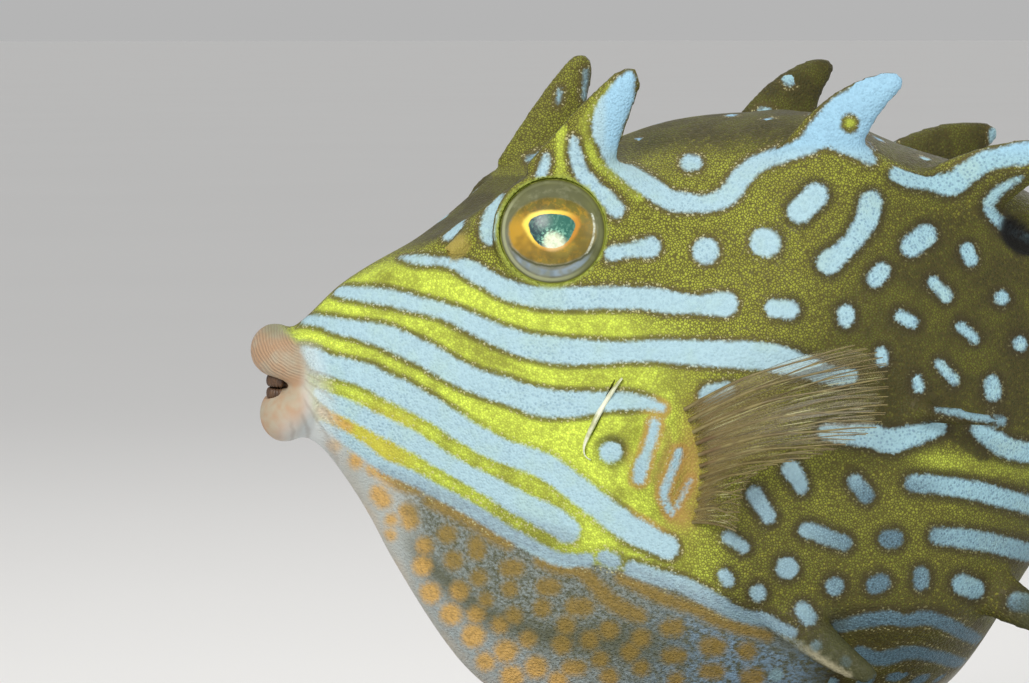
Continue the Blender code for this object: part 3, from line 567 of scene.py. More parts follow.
# Pale markings as the photo shows them, in groups of strokes: points of its 1029 x 683 picture, each with
# a half width there. The picture's plane carries on past its edges, for the parts that it cuts off.
paleMarks = {
    "roundEye": [[(400, 257, 2), (420, 260, 5), (440, 261, 4), (456, 264, 6), (470, 270, 9), (488, 280, 9),
        (508, 290, 10), (532, 296, 10), (560, 298, 11), (590, 298, 11), (640, 298, 11), (670, 302, 11),
        (695, 305, 9), (712, 304, 11), (726, 304, 12)], [(546, 158, 4), (544, 166, 5), (541, 176, 5)],
        [(574, 140, 4), (575, 152, 6), (579, 166, 7), (586, 178, 7), (597, 189, 7), (609, 201, 8),
        (617, 210, 8)], [(508, 180, 2), (502, 192, 3), (496, 204, 6), (492, 216, 9), (490, 229, 10),
        (490, 237, 8)], [(611, 254, 7), (630, 250, 7), (643, 248, 9), (651, 247, 10)]],
    "cheek": [[(338, 291, 5), (359, 294, 7), (380, 296, 8), (400, 300, 8), (420, 305, 8), (440, 310, 8),
        (460, 318, 9), (480, 327, 10), (500, 336, 11), (530, 346, 12), (560, 351, 13), (590, 352, 12),
        (620, 352, 10), (660, 351, 11), (680, 352, 12), (720, 354, 13), (760, 356, 14), (785, 361, 13),
        (806, 367, 11), (830, 375, 9), (850, 377, 8)], [(294, 321, 4), (303, 319, 5), (319, 321, 6),
        (337, 326, 8), (359, 330, 9), (380, 335, 11), (400, 343, 12), (420, 352, 12), (440, 363, 12),
        (460, 374, 12), (480, 383, 12), (500, 389, 13), (520, 396, 13), (540, 402, 14), (560, 404, 13),
        (580, 404, 12), (600, 402, 10), (620, 401, 9), (640, 402, 7), (654, 405, 5), (662, 408, 4)],
        [(304, 351, 5), (314, 357, 9), (327, 365, 11), (347, 370, 11), (367, 376, 12), (387, 386, 12),
        (407, 396, 13), (427, 407, 12), (447, 419, 12), (473, 436, 12), (500, 450, 12), (520, 457, 12),
        (540, 464, 13), (560, 476, 13), (580, 491, 13), (600, 507, 13), (620, 522, 13), (640, 534, 13),
        (656, 542, 12), (668, 548, 11)]],
    "chin": [[(318, 393, 5), (330, 401, 8), (350, 410, 9), (370, 420, 9), (390, 430, 10), (410, 440, 10),
        (440, 459, 9), (460, 471, 9), (480, 481, 10), (500, 492, 11), (520, 504, 12), (540, 514, 13),
        (558, 523, 13), (567, 530, 13)]],
    "border": [[(322, 424, 4), (350, 441, 6), (384, 466, 7), (408, 476, 7), (440, 493, 7), (472, 510, 7),
        (492, 523, 7), (516, 537, 7), (540, 551, 7), (560, 559, 7), (588, 560, 7)], [(605, 558, 8),
        (613, 561, 8)], [(632, 569, 8), (656, 577, 8), (680, 584, 8), (700, 594, 8), (716, 602, 8),
        (740, 615, 7), (764, 620, 7), (780, 627, 6), (792, 633, 5)]],
    "ridge": [[(629, 77, 6), (624, 88, 11), (619, 100, 15), (612, 111, 16), (608, 122, 16), (607, 132, 14),
        (609, 144, 10), (612, 158, 8), (620, 167, 8), (632, 175, 9), (642, 182, 10), (655, 191, 10),
        (670, 200, 10), (689, 203, 9), (704, 204, 8), (720, 200, 9), (732, 191, 10), (742, 177, 10),
        (752, 167, 9), (767, 160, 8), (784, 154, 8), (798, 149, 8), (808, 144, 10), (820, 134, 14),
        (832, 124, 17), (845, 112, 18), (858, 102, 15), (872, 91, 11), (884, 83, 8), (892, 80, 5)]],
    "spineLobe": [[(835, 138, 11), (850, 144, 11), (862, 151, 9), (871, 160, 5)]],
    "brow": [[(449, 234, 7), (459, 224, 7)]],
    "flank": [[(706, 251, 13)], [(764, 242, 14), (767, 243, 14)], [(800, 211, 12), (816, 195, 12)],
        [(871, 202, 11), (869, 214, 11), (862, 228, 10), (852, 242, 9), (840, 254, 10), (829, 262, 12)],
        [(912, 246, 11), (925, 236, 11)], [(967, 250, 7), (971, 259, 7)], [(875, 279, 8), (882, 271, 8)],
        [(934, 283, 6), (946, 296, 6)], [(1002, 298, 7)], [(774, 308, 9), (790, 310, 9)], [(846, 313, 8),
        (846, 319, 8)], [(901, 316, 6), (912, 322, 6)], [(961, 327, 5), (974, 338, 5)], [(882, 352, 5),
        (882, 360, 6)], [(1020, 344, 7)], [(940, 364, 5), (954, 380, 5)], [(917, 380, 5), (919, 388, 5)],
        [(992, 383, 7), (993, 394, 7)], [(855, 482, 8), (866, 495, 8)], [(754, 494, 8), (762, 506, 7),
        (769, 517, 7)], [(791, 469, 9), (797, 478, 8), (802, 488, 6)], [(807, 530, 8), (822, 535, 8),
        (844, 543, 8)], [(888, 539, 9), (894, 539, 9)], [(787, 568, 11)], [(835, 586, 9)], [(875, 585, 9),
        (881, 583, 9)], [(921, 575, 8), (921, 582, 8)], [(962, 584, 10), (974, 589, 10)], [(803, 610, 8),
        (809, 618, 8)], [(1016, 602, 9), (1030, 604, 9)], [(758, 593, 8)], [(724, 575, 6), (728, 581, 6)],
        [(728, 537, 6), (744, 547, 6)]],
    "gill": [[(708, 395, 9), (726, 391, 9)], [(609, 452, 10), (612, 452, 10)]],
    "backSpot": [[(689, 163, 8), (695, 163, 7)]],
    "rearSpine": [[(898, 174, 8), (914, 179, 9), (930, 182, 8), (952, 184, 11), (968, 172, 11),
        (984, 162, 10), (1000, 158, 10), (1029, 152, 11), (1046, 148, 8), (1056, 144, 5)]],
    "notchRim": [[(1020, 178, 2), (1006, 186, 4), (996, 194, 5), (988, 207, 5), (997, 219, 5),
        (1010, 230, 4), (1030, 240, 4)]],
    "sideSpine": [[(938, 409, 3), (962, 413, 4), (982, 417, 4), (1002, 421, 4)]],
    "sideStripe": [[(826, 432, 8), (840, 434, 9), (870, 436, 11), (890, 441, 12), (908, 437, 11),
        (930, 431, 8), (940, 428, 6)], [(974, 429, 4), (984, 434, 8), (1000, 444, 10), (1014, 450, 10),
        (1036, 453, 10), (1060, 448, 9), (1078, 440, 7)]],
    "rearStripes": [[(914, 483, 9), (940, 485, 9), (980, 492, 9), (1010, 500, 9), (1040, 507, 9)],
        [(937, 536, 8), (960, 538, 9), (996, 544, 9), (1030, 553, 9), (1046, 555, 8)]],
    "underRidge": [[(838, 626, 6), (860, 622, 7), (888, 618, 7), (906, 621, 6), (926, 618, 7),
        (946, 624, 7), (968, 635, 7), (990, 646, 6)], [(860, 652, 6), (880, 659, 7), (906, 653, 7),
        (930, 655, 6), (952, 661, 7), (976, 668, 7), (1000, 676, 6)]],
    "bellyRear": [[(816, 646, 6)], [(846, 662, 6)], [(776, 675, 7)], [(976, 682, 8), (990, 690, 8)]],
    "finBase": [[(655, 424, 5), (652, 438, 5), (646, 454, 5), (641, 466, 7), (639, 478, 6)],
        [(679, 452, 4), (674, 466, 4), (668, 480, 4), (664, 492, 4), (667, 504, 4), (671, 513, 3)],
        [(691, 480, 2), (683, 494, 2), (677, 506, 2)]],
}

# Where the ground colour shows again inside a pale mark, as (x, y, half width)
paleHoles = {"spineDot": [[(850, 123, 10)]]}

# Orange and tan spots and lines of the belly, placed like the pale marks
warmMarks = {
    "border": [[(372, 469, 5), (388, 477, 6), (400, 485, 6), (418, 489, 6)], [(428, 501, 5), (446, 509, 6),
        (464, 518, 6), (478, 526, 6), (490, 535, 6), (508, 544, 6)], [(540, 560, 6), (558, 568, 6),
        (580, 571, 6), (594, 584, 7), (612, 602, 8), (628, 611, 8), (640, 616, 7)], [(620, 578, 5),
        (642, 588, 6), (668, 600, 6), (698, 610, 6), (720, 622, 6), (746, 630, 6), (768, 636, 5)]],
    "keelRow": [[(333, 446, 6)], [(356, 461, 7)], [(378, 494, 8), (383, 500, 8)]],
    "belly": [[(408, 512, 9), (410, 520, 9)], [(391, 520, 6)], [(390, 535, 6)], [(425, 545, 8)],
        [(422, 566, 9)], [(447, 534, 9)], [(454, 560, 9)], [(476, 545, 8), (477, 552, 8)], [(460, 590, 9)],
        [(479, 578, 8)], [(430, 593, 10)], [(451, 614, 10)], [(473, 636, 11)], [(485, 662, 9)],
        [(506, 651, 11)], [(512, 677, 11)], [(536, 667, 11)], [(558, 681, 9)], [(476, 614, 8)],
        [(486, 600, 7)], [(500, 625, 8)], [(508, 568, 8), (516, 568, 8)], [(510, 589, 8)], [(514, 615, 8)],
        [(544, 587, 8), (552, 587, 8)], [(542, 608, 9)], [(574, 607, 9), (584, 607, 9)], [(528, 639, 8)],
        [(566, 625, 9)], [(562, 645, 9)], [(590, 640, 9)], [(609, 630, 9)], [(569, 668, 7), (579, 668, 7)],
        [(600, 660, 8)], [(609, 677, 9)], [(630, 652, 9)], [(641, 638, 9)], [(641, 668, 8)],
        [(668, 628, 8), (676, 628, 8)], [(669, 656, 7), (679, 656, 7)], [(709, 646, 9), (717, 647, 9)],
        [(706, 671, 7), (718, 671, 7)], [(747, 651, 9)], [(749, 677, 8), (756, 677, 8)], [(676, 680, 8)]],
    "chinLine": [[(322, 411, 6), (334, 418, 6), (348, 427, 5)]],
    "finBase": [[(666, 430, 2), (668, 446, 3), (662, 462, 3), (656, 480, 3)]],
}

# The line under which the belly's blue ground starts
bellyLine = [(300, 408), (322, 424), (350, 440), (384, 464), (440, 491), (492, 520), (540, 548), (588, 560),
             (632, 570), (680, 585), (716, 602), (764, 622), (800, 640), (900, 690), (1100, 760)]

# Small scattered spots: how far apart, how large, how clear of other marks, and the limits of their place
scatter = {
    "seed": 11,
    "tipClear": 7,
    "back": {"spacing": 6.4, "radius": (0.55, 0.95), "clear": 1.6,
             "where": [("pastRidge", "<", -0.5), ("overRidge", ">", -4), ("facing", "<", 0.35),
                       ("station", ">", 50), ("station", "<", 106)]},
    "tail": {"spacing": 3.4, "radius": (0.75, 1.15), "clear": 1.2,
             "where": [("station", ">", 103), ("station", "<", 140)]},
    "rear": {"spacing": 4.4, "radius": (0.8, 1.3), "clear": 1.3,
             "where": [("station", ">", 72), ("station", "<", 104), ("y", ">", 672),
                       ("bellyShare", "<", 0.2)]},
    "belly": {"spacing": 3.5, "radius": (0.95, 1.35), "clear": 0.7,
              "where": [("bellyShare", ">", 0.7), ("y", ">", 686)]},
}


def resample(marks, step=3):
    # Evenly spaced points along a smooth curve through the marks
    points = np.array(marks, dtype=float)
    if len(points) == 1:
        return points
    lengths = np.concatenate([[0], np.cumsum(np.linalg.norm(np.diff(points[:, :2], axis=0), axis=1))])
    where = np.linspace(0, lengths[-1], max(2, int(lengths[-1] / step) + 1))
    return np.stack([along(list(zip(lengths, column)), where) for column in points.T], axis=1)


def onPicture(points):
    # The picture's coordinates of an array of points on the near side
    right, up, back = (np.array(v) for v in cameraAxes())
    offsets = points - np.array(place(*picture["target"])) - back * picture["distance"] * mm
    depth = -(offsets @ back)
    return np.stack([picture["width"] / 2 + picture["focalPixels"] * (offsets @ right) / depth,
                     picture["height"] / 2 - picture["focalPixels"] * (offsets @ up) / depth], axis=1)


def pixelsPerMm():
    return picture["focalPixels"] / picture["distance"]


def strokePoints(tree, stroke):
    # Where the lines of sight through a mark first meet the near side
    spots = []
    for px, py, half in stroke:
        start, sight = pictureRay(px, py)
        hit = tree.ray_cast(start, sight)[0]
        if hit is None:
            hit = tree.find_nearest(start + sight * (picture["distance"] - 18) * mm)[0]
        spots.append(hit)
    return np.array([tuple(p) for p in spots])


# Soft-edged zones, each the product of its steps: none at the first value, full at the second, or a plain
# limit. x and y are the picture's; facing and outward say how squarely the skin faces the camera and the
# side; station, reach, level and the distances from ridge, keel and eye are the fish's, in millimetres.
zones = {
    "innerFace": [("outward", 0.1, -0.25), ("reach", 12, 15), ("level", 16, 22)],
    "farBack": [("pastRidge", -0.5, -2), ("station", 60, 72), ("level", ">", 14)],
    "bareBack": [("station", 78, 84)],
    "belly": [("belowBelly", -2, 5), ("x", 840, 790), ("station", 104, 96), ("level", "<", 0)],
    "farHorn": [("far", ">", 0), ("station", "<", 60), ("seenX", ">", 490), ("seenY", "<", 176),
                ("seenFacing", ">", 0)],
    # Painted shade, in the next eight zones: to the tail and top, behind the fin, facing away, in a spine's
    # shadow
    "rearShade": [("duskward", 700, 960), ("y", 140, 230)],
    "rearGap": [("x", 890, 940)],
    "lowShade": [("x", 700, 760), ("y", 450, 500)],
    "grazingShade": [("facing", 0.32, 0.12), ("x", 830, 870), ("level", ">", 15)],
    "backShade": [("facing", 0.55, 0.12), ("level", 14, 20), ("station", 14, 26)],
    "crownShade": [("y", 172, 130), ("x", 600, 640), ("pastRidge", "<", -1.5)],
    "spineShadow": [("x", 770, 800), ("y", 632, 655), ("x", 850, 830)],
    "tailShade": [("station", 100, 112)],
    "shell": [("station", "<", 106)],
    "carapace": [("station", "<", 104)],
    "lip": [("pastLip", 7, -5), ("station", "<", 14)],
    "chin": [("x", 440, 380), ("y", 390, 430)],
    "cream": [("keelGap", 4.8, 1.2), ("station", 106, 92), ("station", 8, 16)],
    "keelward": [("keelGap", 16, 5)],
    # Painted shade on the pale marks, towards the tail and where the top faces away from the camera
    "paleRearShade": [("x", 740, 980)],
    "paleTopShade": [("facing", 0.5, 0.1), ("level", ">", 18)],
    # Painted light: the cheek's ground brighter towards the head and where it faces the camera
    "cheekBrightAndLit": [("x", 780, 600), ("belowCheek", -20, 30), ("facing", 0.1, 0.5)],
    "spineDot": [("reach", ">", 17.5)],
    "rearGapGlow": [("x", 880, 940), ("station", "<", 104)],
    "seenSide": [("facing", ">", 0)],
    # Painted shade on the pale marks, low down behind the pectoral fin
    "lowShadeNear": [("x", 700, 740), ("y", 455, 500)],
    "lowShadeFar": [("x", 790, 880), ("y", 455, 500)],
    "clearRear": [("x", 900, 960), ("y", 610, 590)],
    "clearLow": [("y", 505, 535)],
    "onHorn": [("y", 165, 140), ("x", 600, 610), ("facing", ">", 0)],
    "ringRear": [("x", 710, 840)],
    "ringLow": [("x", 700, 740), ("y", 450, 480)],
    "ringBelowBack": [("y", 160, 180)],
    "ringless": [("y", 604, 622), ("x", 830, 850)],
    "eyeEdge": [("fromEye", 7.15, 7)],
    "eyeFront": [("eyeward", 560, 520)],
    "eyeSide": [("beforeEye", ">", -4)],
    # A band of painted shadow along the belly, wider towards the tail
    "shadowBandWide": [("x", 540, 640)],
    "band": [("x", 380, 420)],
    "flecks": [("x", 590, 740), ("belowFlecks", -4, 22)],
    "lowGlow": [("x", 650, 580), ("belowLowCheek", 10, 40)],
    "halo": [("pastLip", 30, 6), ("y", 336, 352)],
    "lobe": [("fromLobe", 1.25, 0.85), ("facing", ">", 0)],
    # Painted shade, near black, in the notch behind the rear spine of the back
    "notch": [("fromNotch", 1.12, 0.98), ("underRidge", 1.6, 3.2)],
    "lipFold": [("y", 384, 372), ("y", 318, 330), ("x", 310, 300)],
    "lipTop": [("y", 344, 326), ("x", 252, 272)],
    "lipWhite": [("y", 405, 440), ("x", 266, 298), ("x", 345, 325)],
    "lipCorner": [("x", 296, 312), ("y", 350, 385), ("x", 345, 325)],
}
# Rounded shades of the picture: centre and half size
blobs = {
    # The first two are painted shade behind: its dark core and a lighter patch in it
    "rearShadeCore": ((905, 355), (75, 60)),
    "rearClearing": ((925, 520), (120, 75)),
    "rearGreen": ((915, 515), (100, 75)),
    "finShade": ((665, 460), (42, 70)),
    "rootUpper": ((690, 466), (13, 50)),
    "rootLower": ((682, 515), (16, 16)),
}
# Straight shades of the picture: two ends and the distance at which they fade out
streaks = {
    # A painted shadow, cast under the side spine
    "sideSpineShadow": ((938, 424), (984, 456), 11),
    "sideSpine": ((930, 408), (1005, 421), 12),
    "hornEdge": ((612, 88), (584, 124), 10),
    "hornFoot": ((584, 124), (594, 158), 9),
    "browRear": ((594, 158), (640, 196), 9),
    "browFront": ((561, 128), (561, 176), 8),
    "lowFront": ((380, 482), (588, 556), 24),
    "lowRear": ((588, 560), (792, 634), 20),
    "bellySpine": ((800, 646), (850, 678), 5),
}
# Lines of the picture: a point and the slope of the straight ones, and the points of the others
tilts = {
    "belowRearGap": (960, 463, 0.12),
    "belowCheek": (400, 250, 0.25),
    "belowLowCheek": (300, 350, 0.24),
}
# x, moved by a share of the way down from a y
slants = {"duskward": (0.25, 300), "eyeward": (-0.6, 231)}
outlines = {
    "belowBelly": bellyLine,
    "belowFlecks": [(590, 584), (640, 596), (700, 612), (790, 642)],
    # The line along which the belly's band of painted shadow runs
    "belowBand": [(380, 505), (405, 540), (440, 575), (480, 612), (540, 634), (600, 640), (700, 652),
                  (800, 668)],
}
# The front edge of the dark skin behind the flesh-coloured lips
lipEdge = [(300, 268), (330, 284), (345, 298), (375, 306), (400, 312), (450, 320)]    # (y, x)
landmarks = {"spineDot": (850, 123), "gillSpot": (611, 452), "lipRing": (308, 330), "mouth": (283, 360)}
# The fleshy root of the pectoral fin in the picture
lobeShape = {"centre": (664, 462), "size": (36, 66), "lean": 160}


class Surface:
    # A mesh's points, all brought to the near side, with the measures that its fields are made from
    def __init__(self, mesh):
        points = coordinates(mesh)
        self.points = points
        station, reach, level = fishPlaces(points).T
        turned = normals(mesh)
        far = points[:, 1] > 0
        mirror = np.where(far, -1, 1)[:, None] ** np.array([0, 1, 0])
        self.near = points * mirror
        sight = np.array(cameraAxes()[2])
        seen = onPicture(points)
        sway = far * 3.0    # keeps the far side's marks from being an exact mirror image
        self.flat = onPicture(self.near)
        self.flat[:, 0] += sway * np.sin(station * 0.21 + 1)
        self.flat[:, 1] += sway * np.sin(station * 0.13 + level * 0.17)
        self.facing = (turned * mirror) @ sight
        x, y = self.flat.T
        inShell = np.clip(station, fish["bodyStart"], fish["carapaceEnd"])
        overRidge = level - upperRidgeLevel(inShell)
        self.folded = np.stack([station, np.abs(reach), level], axis=1)
        fromEye = (self.near - np.array(eyeCentre(-1))) / mm
        axis = np.array(eyeAxis(-1))
        fromLobe = (x - lobeShape["centre"][0], y - lobeShape["centre"][1])
        self.axes = {
            "x": x, "y": y, "station": station, "reach": np.abs(reach), "level": level, "far": far,
            "facing": self.facing, "outward": -(turned * mirror)[:, 1],
            "seenX": seen[:, 0], "seenY": seen[:, 1], "seenFacing": turned @ sight,
            "pastRidge": np.abs(reach) - along(carapace["upperRidgeReach"], inShell),
            "overRidge": overRidge, "underRidge": -overRidge,
            "keelGap": level - along(carapace["keel"], inShell),
            "beforeEye": fromEye @ axis,
            "fromEye": np.linalg.norm(fromEye - (fromEye @ axis)[:, None] * axis, axis=1),
            "fromNotch": np.linalg.norm((self.folded - notch["place"]) / notch["size"], axis=1),
            "fromLobe": np.hypot(fromLobe[0] / lobeShape["size"][0],
                                 fromLobe[1] / lobeShape["size"][1] + fromLobe[0] / lobeShape["lean"]),
            "pastLip": x - np.interp(y, *zip(*lipEdge)),
        }
        for name, (px, py, slope) in tilts.items():
            self.axes[name] = y - py - (x - px) * slope
        for name, (share, py) in slants.items():
            self.axes[name] = x + share * (y - py)
        for name, line in outlines.items():
            self.axes[name] = y - np.interp(x, *zip(*line))

    def within(self, steps):
        inside = np.ones(len(self.points))
        for axis, start, full in steps:
            value = self.axes[axis]
            step = {">": value > full, "<": value < full}.get(start)
            inside = inside * (smoothStep(start, full, value) if step is None else step)
        return inside

    def zone(self, name):
        return self.within(zones[name])

    def blob(self, name):
        (px, py), (wide, high) = blobs[name]
        return np.exp(-((self.axes["x"] - px) / wide) ** 2 - ((self.axes["y"] - py) / high) ** 2)

    def strip(self, axis, half):
        return np.exp(-(self.axes[axis] / half) ** 2)

    def streak(self, name):
        start, end, width = streaks[name]
        return smoothStep(width, width * 0.35, lineGap(*self.flat.T, start, end))

    def fromLandmark(self, name):
        return self.axes["x"] - landmarks[name][0], self.axes["y"] - landmarks[name][1]


def lineGap(x, y, start, end):
    # The distance to a straight line of the picture
    run = np.array(end, dtype=float) - start
    t = np.clip(((x - start[0]) * run[0] + (y - start[1]) * run[1]) / (run @ run), 0, 1)
    return np.hypot(x - start[0] - t * run[0], y - start[1] - t * run[1])


def axisGap(points, start, end):
    # The share of the way along an axis, and the distance from it
    start, end = np.array(start), np.array(end)
    t = ((points - start) @ (end - start)) / ((end - start) @ (end - start))
    return t, np.linalg.norm(points - (start + np.clip(t, 0, 1)[:, None] * (end - start)), axis=1)


def markDistance(surface, tree, marks):
    # The distance in millimetres to the edge of the nearest mark, below zero inside it
    best = np.full(len(surface.points), 8.0)
    scale = pixelsPerMm()
    for stroke in (stroke for group in marks.values() for stroke in group):
        samples = resample(stroke)
        low, high = samples[:, :2].min(axis=0) - 60, samples[:, :2].max(axis=0) + 60
        chosen = np.flatnonzero(np.all((surface.flat > low) & (surface.flat < high), axis=1)
                                & (surface.facing > -0.35))
        if not len(chosen):
            continue
        solid = strokePoints(tree, samples)
        for part in np.array_split(chosen, len(chosen) // 4000 + 1):
            flat = (np.linalg.norm(surface.flat[part][:, None] - samples[None, :, :2], axis=2)
                    - samples[:, 2]).min(axis=1) / scale
            gap = np.linalg.norm(surface.near[part][:, None] - solid[None], axis=2) / mm
            deep = (gap - samples[:, 2] / scale).min(axis=1)
            blocked = (gap * 0.42 - samples[:, 2] / scale).min(axis=1)
            square = smoothStep(0.22, 0.45, surface.facing[part])
            value = np.maximum(flat, blocked) * square + deep * (1 - square)
            best[part] = np.minimum(best[part], value)
    return best


def dartSpots(surface, key, taken, random, barred=False):
    # Scattered round spots that keep clear of each other and of the marks already there
    recipe = scatter[key]
    region = (surface.within(recipe["where"]) > 0) & ~np.asarray(barred)
    best = np.full(len(surface.points), 8.0)
    candidates = np.flatnonzero(region & (taken > recipe["clear"] + 0.4))
    random.shuffle(candidates)
    members = np.flatnonzero(region)
    centres = []
    for k in candidates:
        centre = surface.points[k] / mm
        if centres and np.linalg.norm(np.array(centres) - centre, axis=1).min() < recipe["spacing"]:
            continue
        centres.append(centre)
        radius = random.uniform(*recipe["radius"])
        stretch = random.uniform(0.75, 1, 3)
        gap = np.linalg.norm((surface.points[members] / mm - centre) * stretch, axis=1) - radius
        best[members] = np.minimum(best[members], gap)
    return best


def bladeCover(surface):
    # One on the upper part of the front spines of the back, none elsewhere
    cover = np.zeros(len(surface.points))
    for side in (-1, 1):
        t, gap = axisGap(surface.points, *spineEnds(spines["backFront"], side))
        cover = np.maximum(cover, smoothStep(0.42, 0.58, t) * smoothStep(4.8, 3.8, gap / mm))
    return cover


def markFields(surface, tree):
    # Distances to the edges of the pale and the warm marks, below zero inside them
    random = np.random.default_rng(scatter["seed"])
    zone = surface.zone
    pale = markDistance(surface, tree, paleMarks) + 3 * zone("innerFace")
    pale = pale + 3 * zone("farBack") * zone("bareBack")
    blade = bladeCover(surface)
    pale = np.minimum(pale, np.where((surface.axes["outward"] > 0.2) & (blade > 0), 1.2 - 2.6 * blade, 8))
    pale = np.maximum(pale, -markDistance(surface, tree, paleHoles))
    warm = markDistance(surface, tree, warmMarks)
    surface.axes["bellyShare"] = zone("belly")
    nearTips = np.zeros(len(pale), dtype=bool)
    for key in ("backFront", "backRear"):
        for side in (-1, 1):
            tip = np.array(spineEnds(spines[key], side)[1])
            nearTips |= np.linalg.norm(surface.points - tip, axis=1) <= scatter["tipClear"] * mm
    warm = np.minimum(warm, dartSpots(surface, "belly", warm, random))
    for key in ("back", "tail", "rear"):
        pale = np.minimum(pale, dartSpots(surface, key, pale, random, nearTips if key == "back" else False))
    for start, end, half in farHornMarks:
        gap = (lineGap(surface.axes["seenX"], surface.axes["seenY"], start, end) - half) / pixelsPerMm()
        pale = np.where(zone("farHorn") > 0, np.minimum(pale, gap), pale)
    return {"pale": np.clip(pale, -4, 4), "warm": np.clip(warm, -4, 4), "belly": zone("belly")}


def gemShare(surface):
    across, down = surface.fromLandmark("spineDot")
    return np.exp(-((across / 8) ** 2 + (down / 8) ** 2) ** 2) * surface.zone("spineDot")


def shadeAndOliveField(surface):
    # Painted shade towards the tail, on the top, under the fin and spines; and the spines' dark olive inner
    # faces
    zone = surface.zone
    dark = np.clip(0.95 * zone("rearShade") + 0.75 * surface.blob("rearShadeCore"), 0, 1)
    dark = dark * (1 - 0.75 * surface.strip("belowRearGap", 14) * zone("rearGap"))
    dark = np.maximum(dark, 0.7 * zone("lowShade")) * (1 - 0.5 * surface.blob("rearClearing"))
    # The painted shadow cast under the side spine
    dark = np.maximum(dark, 0.95 * surface.streak("sideSpineShadow"))
    others = [zone(name) for name in ("backShade", "crownShade", "innerFace", "spineShadow", "grazingShade")]
    dark = np.maximum.reduce([dark, *others, zone("farBack") * zone("shell"), 0.45 * zone("tailShade")])
    return np.clip(dark, 0, 1) * (1 - gemShare(surface)) * (1 - 0.6 * zone("farHorn"))


def shadedAndDimField(surface):
    # Where the pale marks are darker: painted shade low behind and under the pectoral fin, and duller on the
    # side spine and far horn
    zone = surface.zone
    dim = 0.45 * zone("lowShadeNear") + 0.55 * zone("lowShadeFar")
    dim = dim * (1 - (0.85 - 0.25 * zone("clearLow")) * zone("clearRear"))
    return np.maximum.reduce([dim, 0.5 * surface.streak("sideSpine"), 0.38 * zone("farHorn"),
                              0.22 * surface.blob("finShade")])


def glowFields(surface):
    # Where the ground is bright yellow-green, partly painted light on the cheek, and where the marks' dark
    # rims are faint
    zone = surface.zone
    edges = [surface.streak(key) for key in ("hornEdge", "hornFoot", "browRear", "browFront")]
    hornLine = np.maximum.reduce(edges) * (1 - zone("farHorn"))
    between = surface.strip("belowRearGap", 12) * zone("rearGapGlow")
    rear = surface.blob("rearGreen") * zone("carapace") * zone("seenSide")
    glow = np.clip(np.maximum(zone("cheekBrightAndLit"), gemShare(surface)) + 0.45 * between + 0.12 * rear, 0, 1)
    low = np.maximum(zone("lowGlow"), 0.6 * hornLine)
    return {"glow": np.maximum(glow, 0.75 * hornLine), "lowGlow": low}


def ringField(surface):
    # Where the marks have wide dark rims
    spot = 0.8 * np.exp(-(np.hypot(*surface.fromLandmark("gillSpot")) / 24) ** 4)
    ring = np.maximum.reduce([surface.zone("ringRear"), spot, 0.8 * surface.zone("ringLow")])
    return ring * surface.zone("ringBelowBack") * (1 - 0.65 * surface.zone("ringless"))


def spineShare(surface):
    # One on the outer part of the belly's spines
    share = np.zeros(len(surface.points))
    for key in ("bellyFront", "bellyRear"):
        t, gap = axisGap(surface.folded, *spines[key][:2])
        share = np.maximum(share, smoothStep(0.25, 0.6, t) * smoothStep(5, 3.2, gap))
    return share


def headFields(surface):
    zone = surface.zone
    t, gap = axisGap(surface.folded, nostril["root"], nostril["end"])
    rimLine = 0.75 * np.exp(-((surface.axes["fromEye"] - 7.12) / 0.24) ** 2) * zone("eyeFront")
    ringX, ringY = surface.fromLandmark("lipRing")
    mouthX, mouthY = surface.fromLandmark("mouth")
    return {
        "nose": smoothStep(0.25, 0.6, t) * smoothStep(1.6, 1.25, gap),
        "eyeRim": np.maximum(zone("eyeEdge"), rimLine) * zone("eyeSide"),
        "halo": 0.55 * zone("halo"),
        "lipRing": np.hypot(ringX, ringY) / pixelsPerMm(),
        "lipTurn": np.arctan2(mouthY, mouthX),
        "lipTop": 0.8 * zone("lipTop"),
        "lipWhite": zone("lipWhite") + 0.8 * zone("lipCorner"),
    }


def paintAttributes(mesh, tree):
    # The fields that the skin's material reads
    surface = Surface(mesh)
    zone = surface.zone
    fields = {name: zone(name) for name in ("lip", "chin", "cream", "keelward", "onHorn", "lipFold", "lobe")}
    fields.update(markFields(surface, tree), **glowFields(surface), **headFields(surface))
    spine = spineShare(surface)
    fields.update({
        # Painted shade, with the dark olive of the spines' inner faces
        "shadeAndOlive": shadeAndOliveField(surface),
        # Painted shade on the pale marks by the fin, and duller marks on the side spine and far horn
        "shadedAndDim": shadedAndDimField(surface),
        "ring": ringField(surface),
        # Painted shade on the pale marks, towards the tail and at the top
        "paleShade": np.clip(zone("paleRearShade") + 0.5 * zone("paleTopShade"), 0, 1),
        # A band of painted shadow along the belly
        "band": surface.strip("belowBand", 17 + 14 * zone("shadowBandWide")) * zone("band"),
        "flecks": 0.85 * zone("flecks"),
        "lowStripe": np.maximum(surface.streak("lowFront"), surface.streak("lowRear")),
        "rootGlow": np.maximum(surface.blob("rootUpper"), surface.blob("rootLower")),
        # Painted shade, near black, in the notch behind the rear spine
        "hollow": zone("notch"),
        "spineGlow": spine,
        "spineEdge": 0.55 * spine * surface.streak("bellySpine"),
    })
    for name, values in fields.items():
        setAttribute(mesh, name, values)


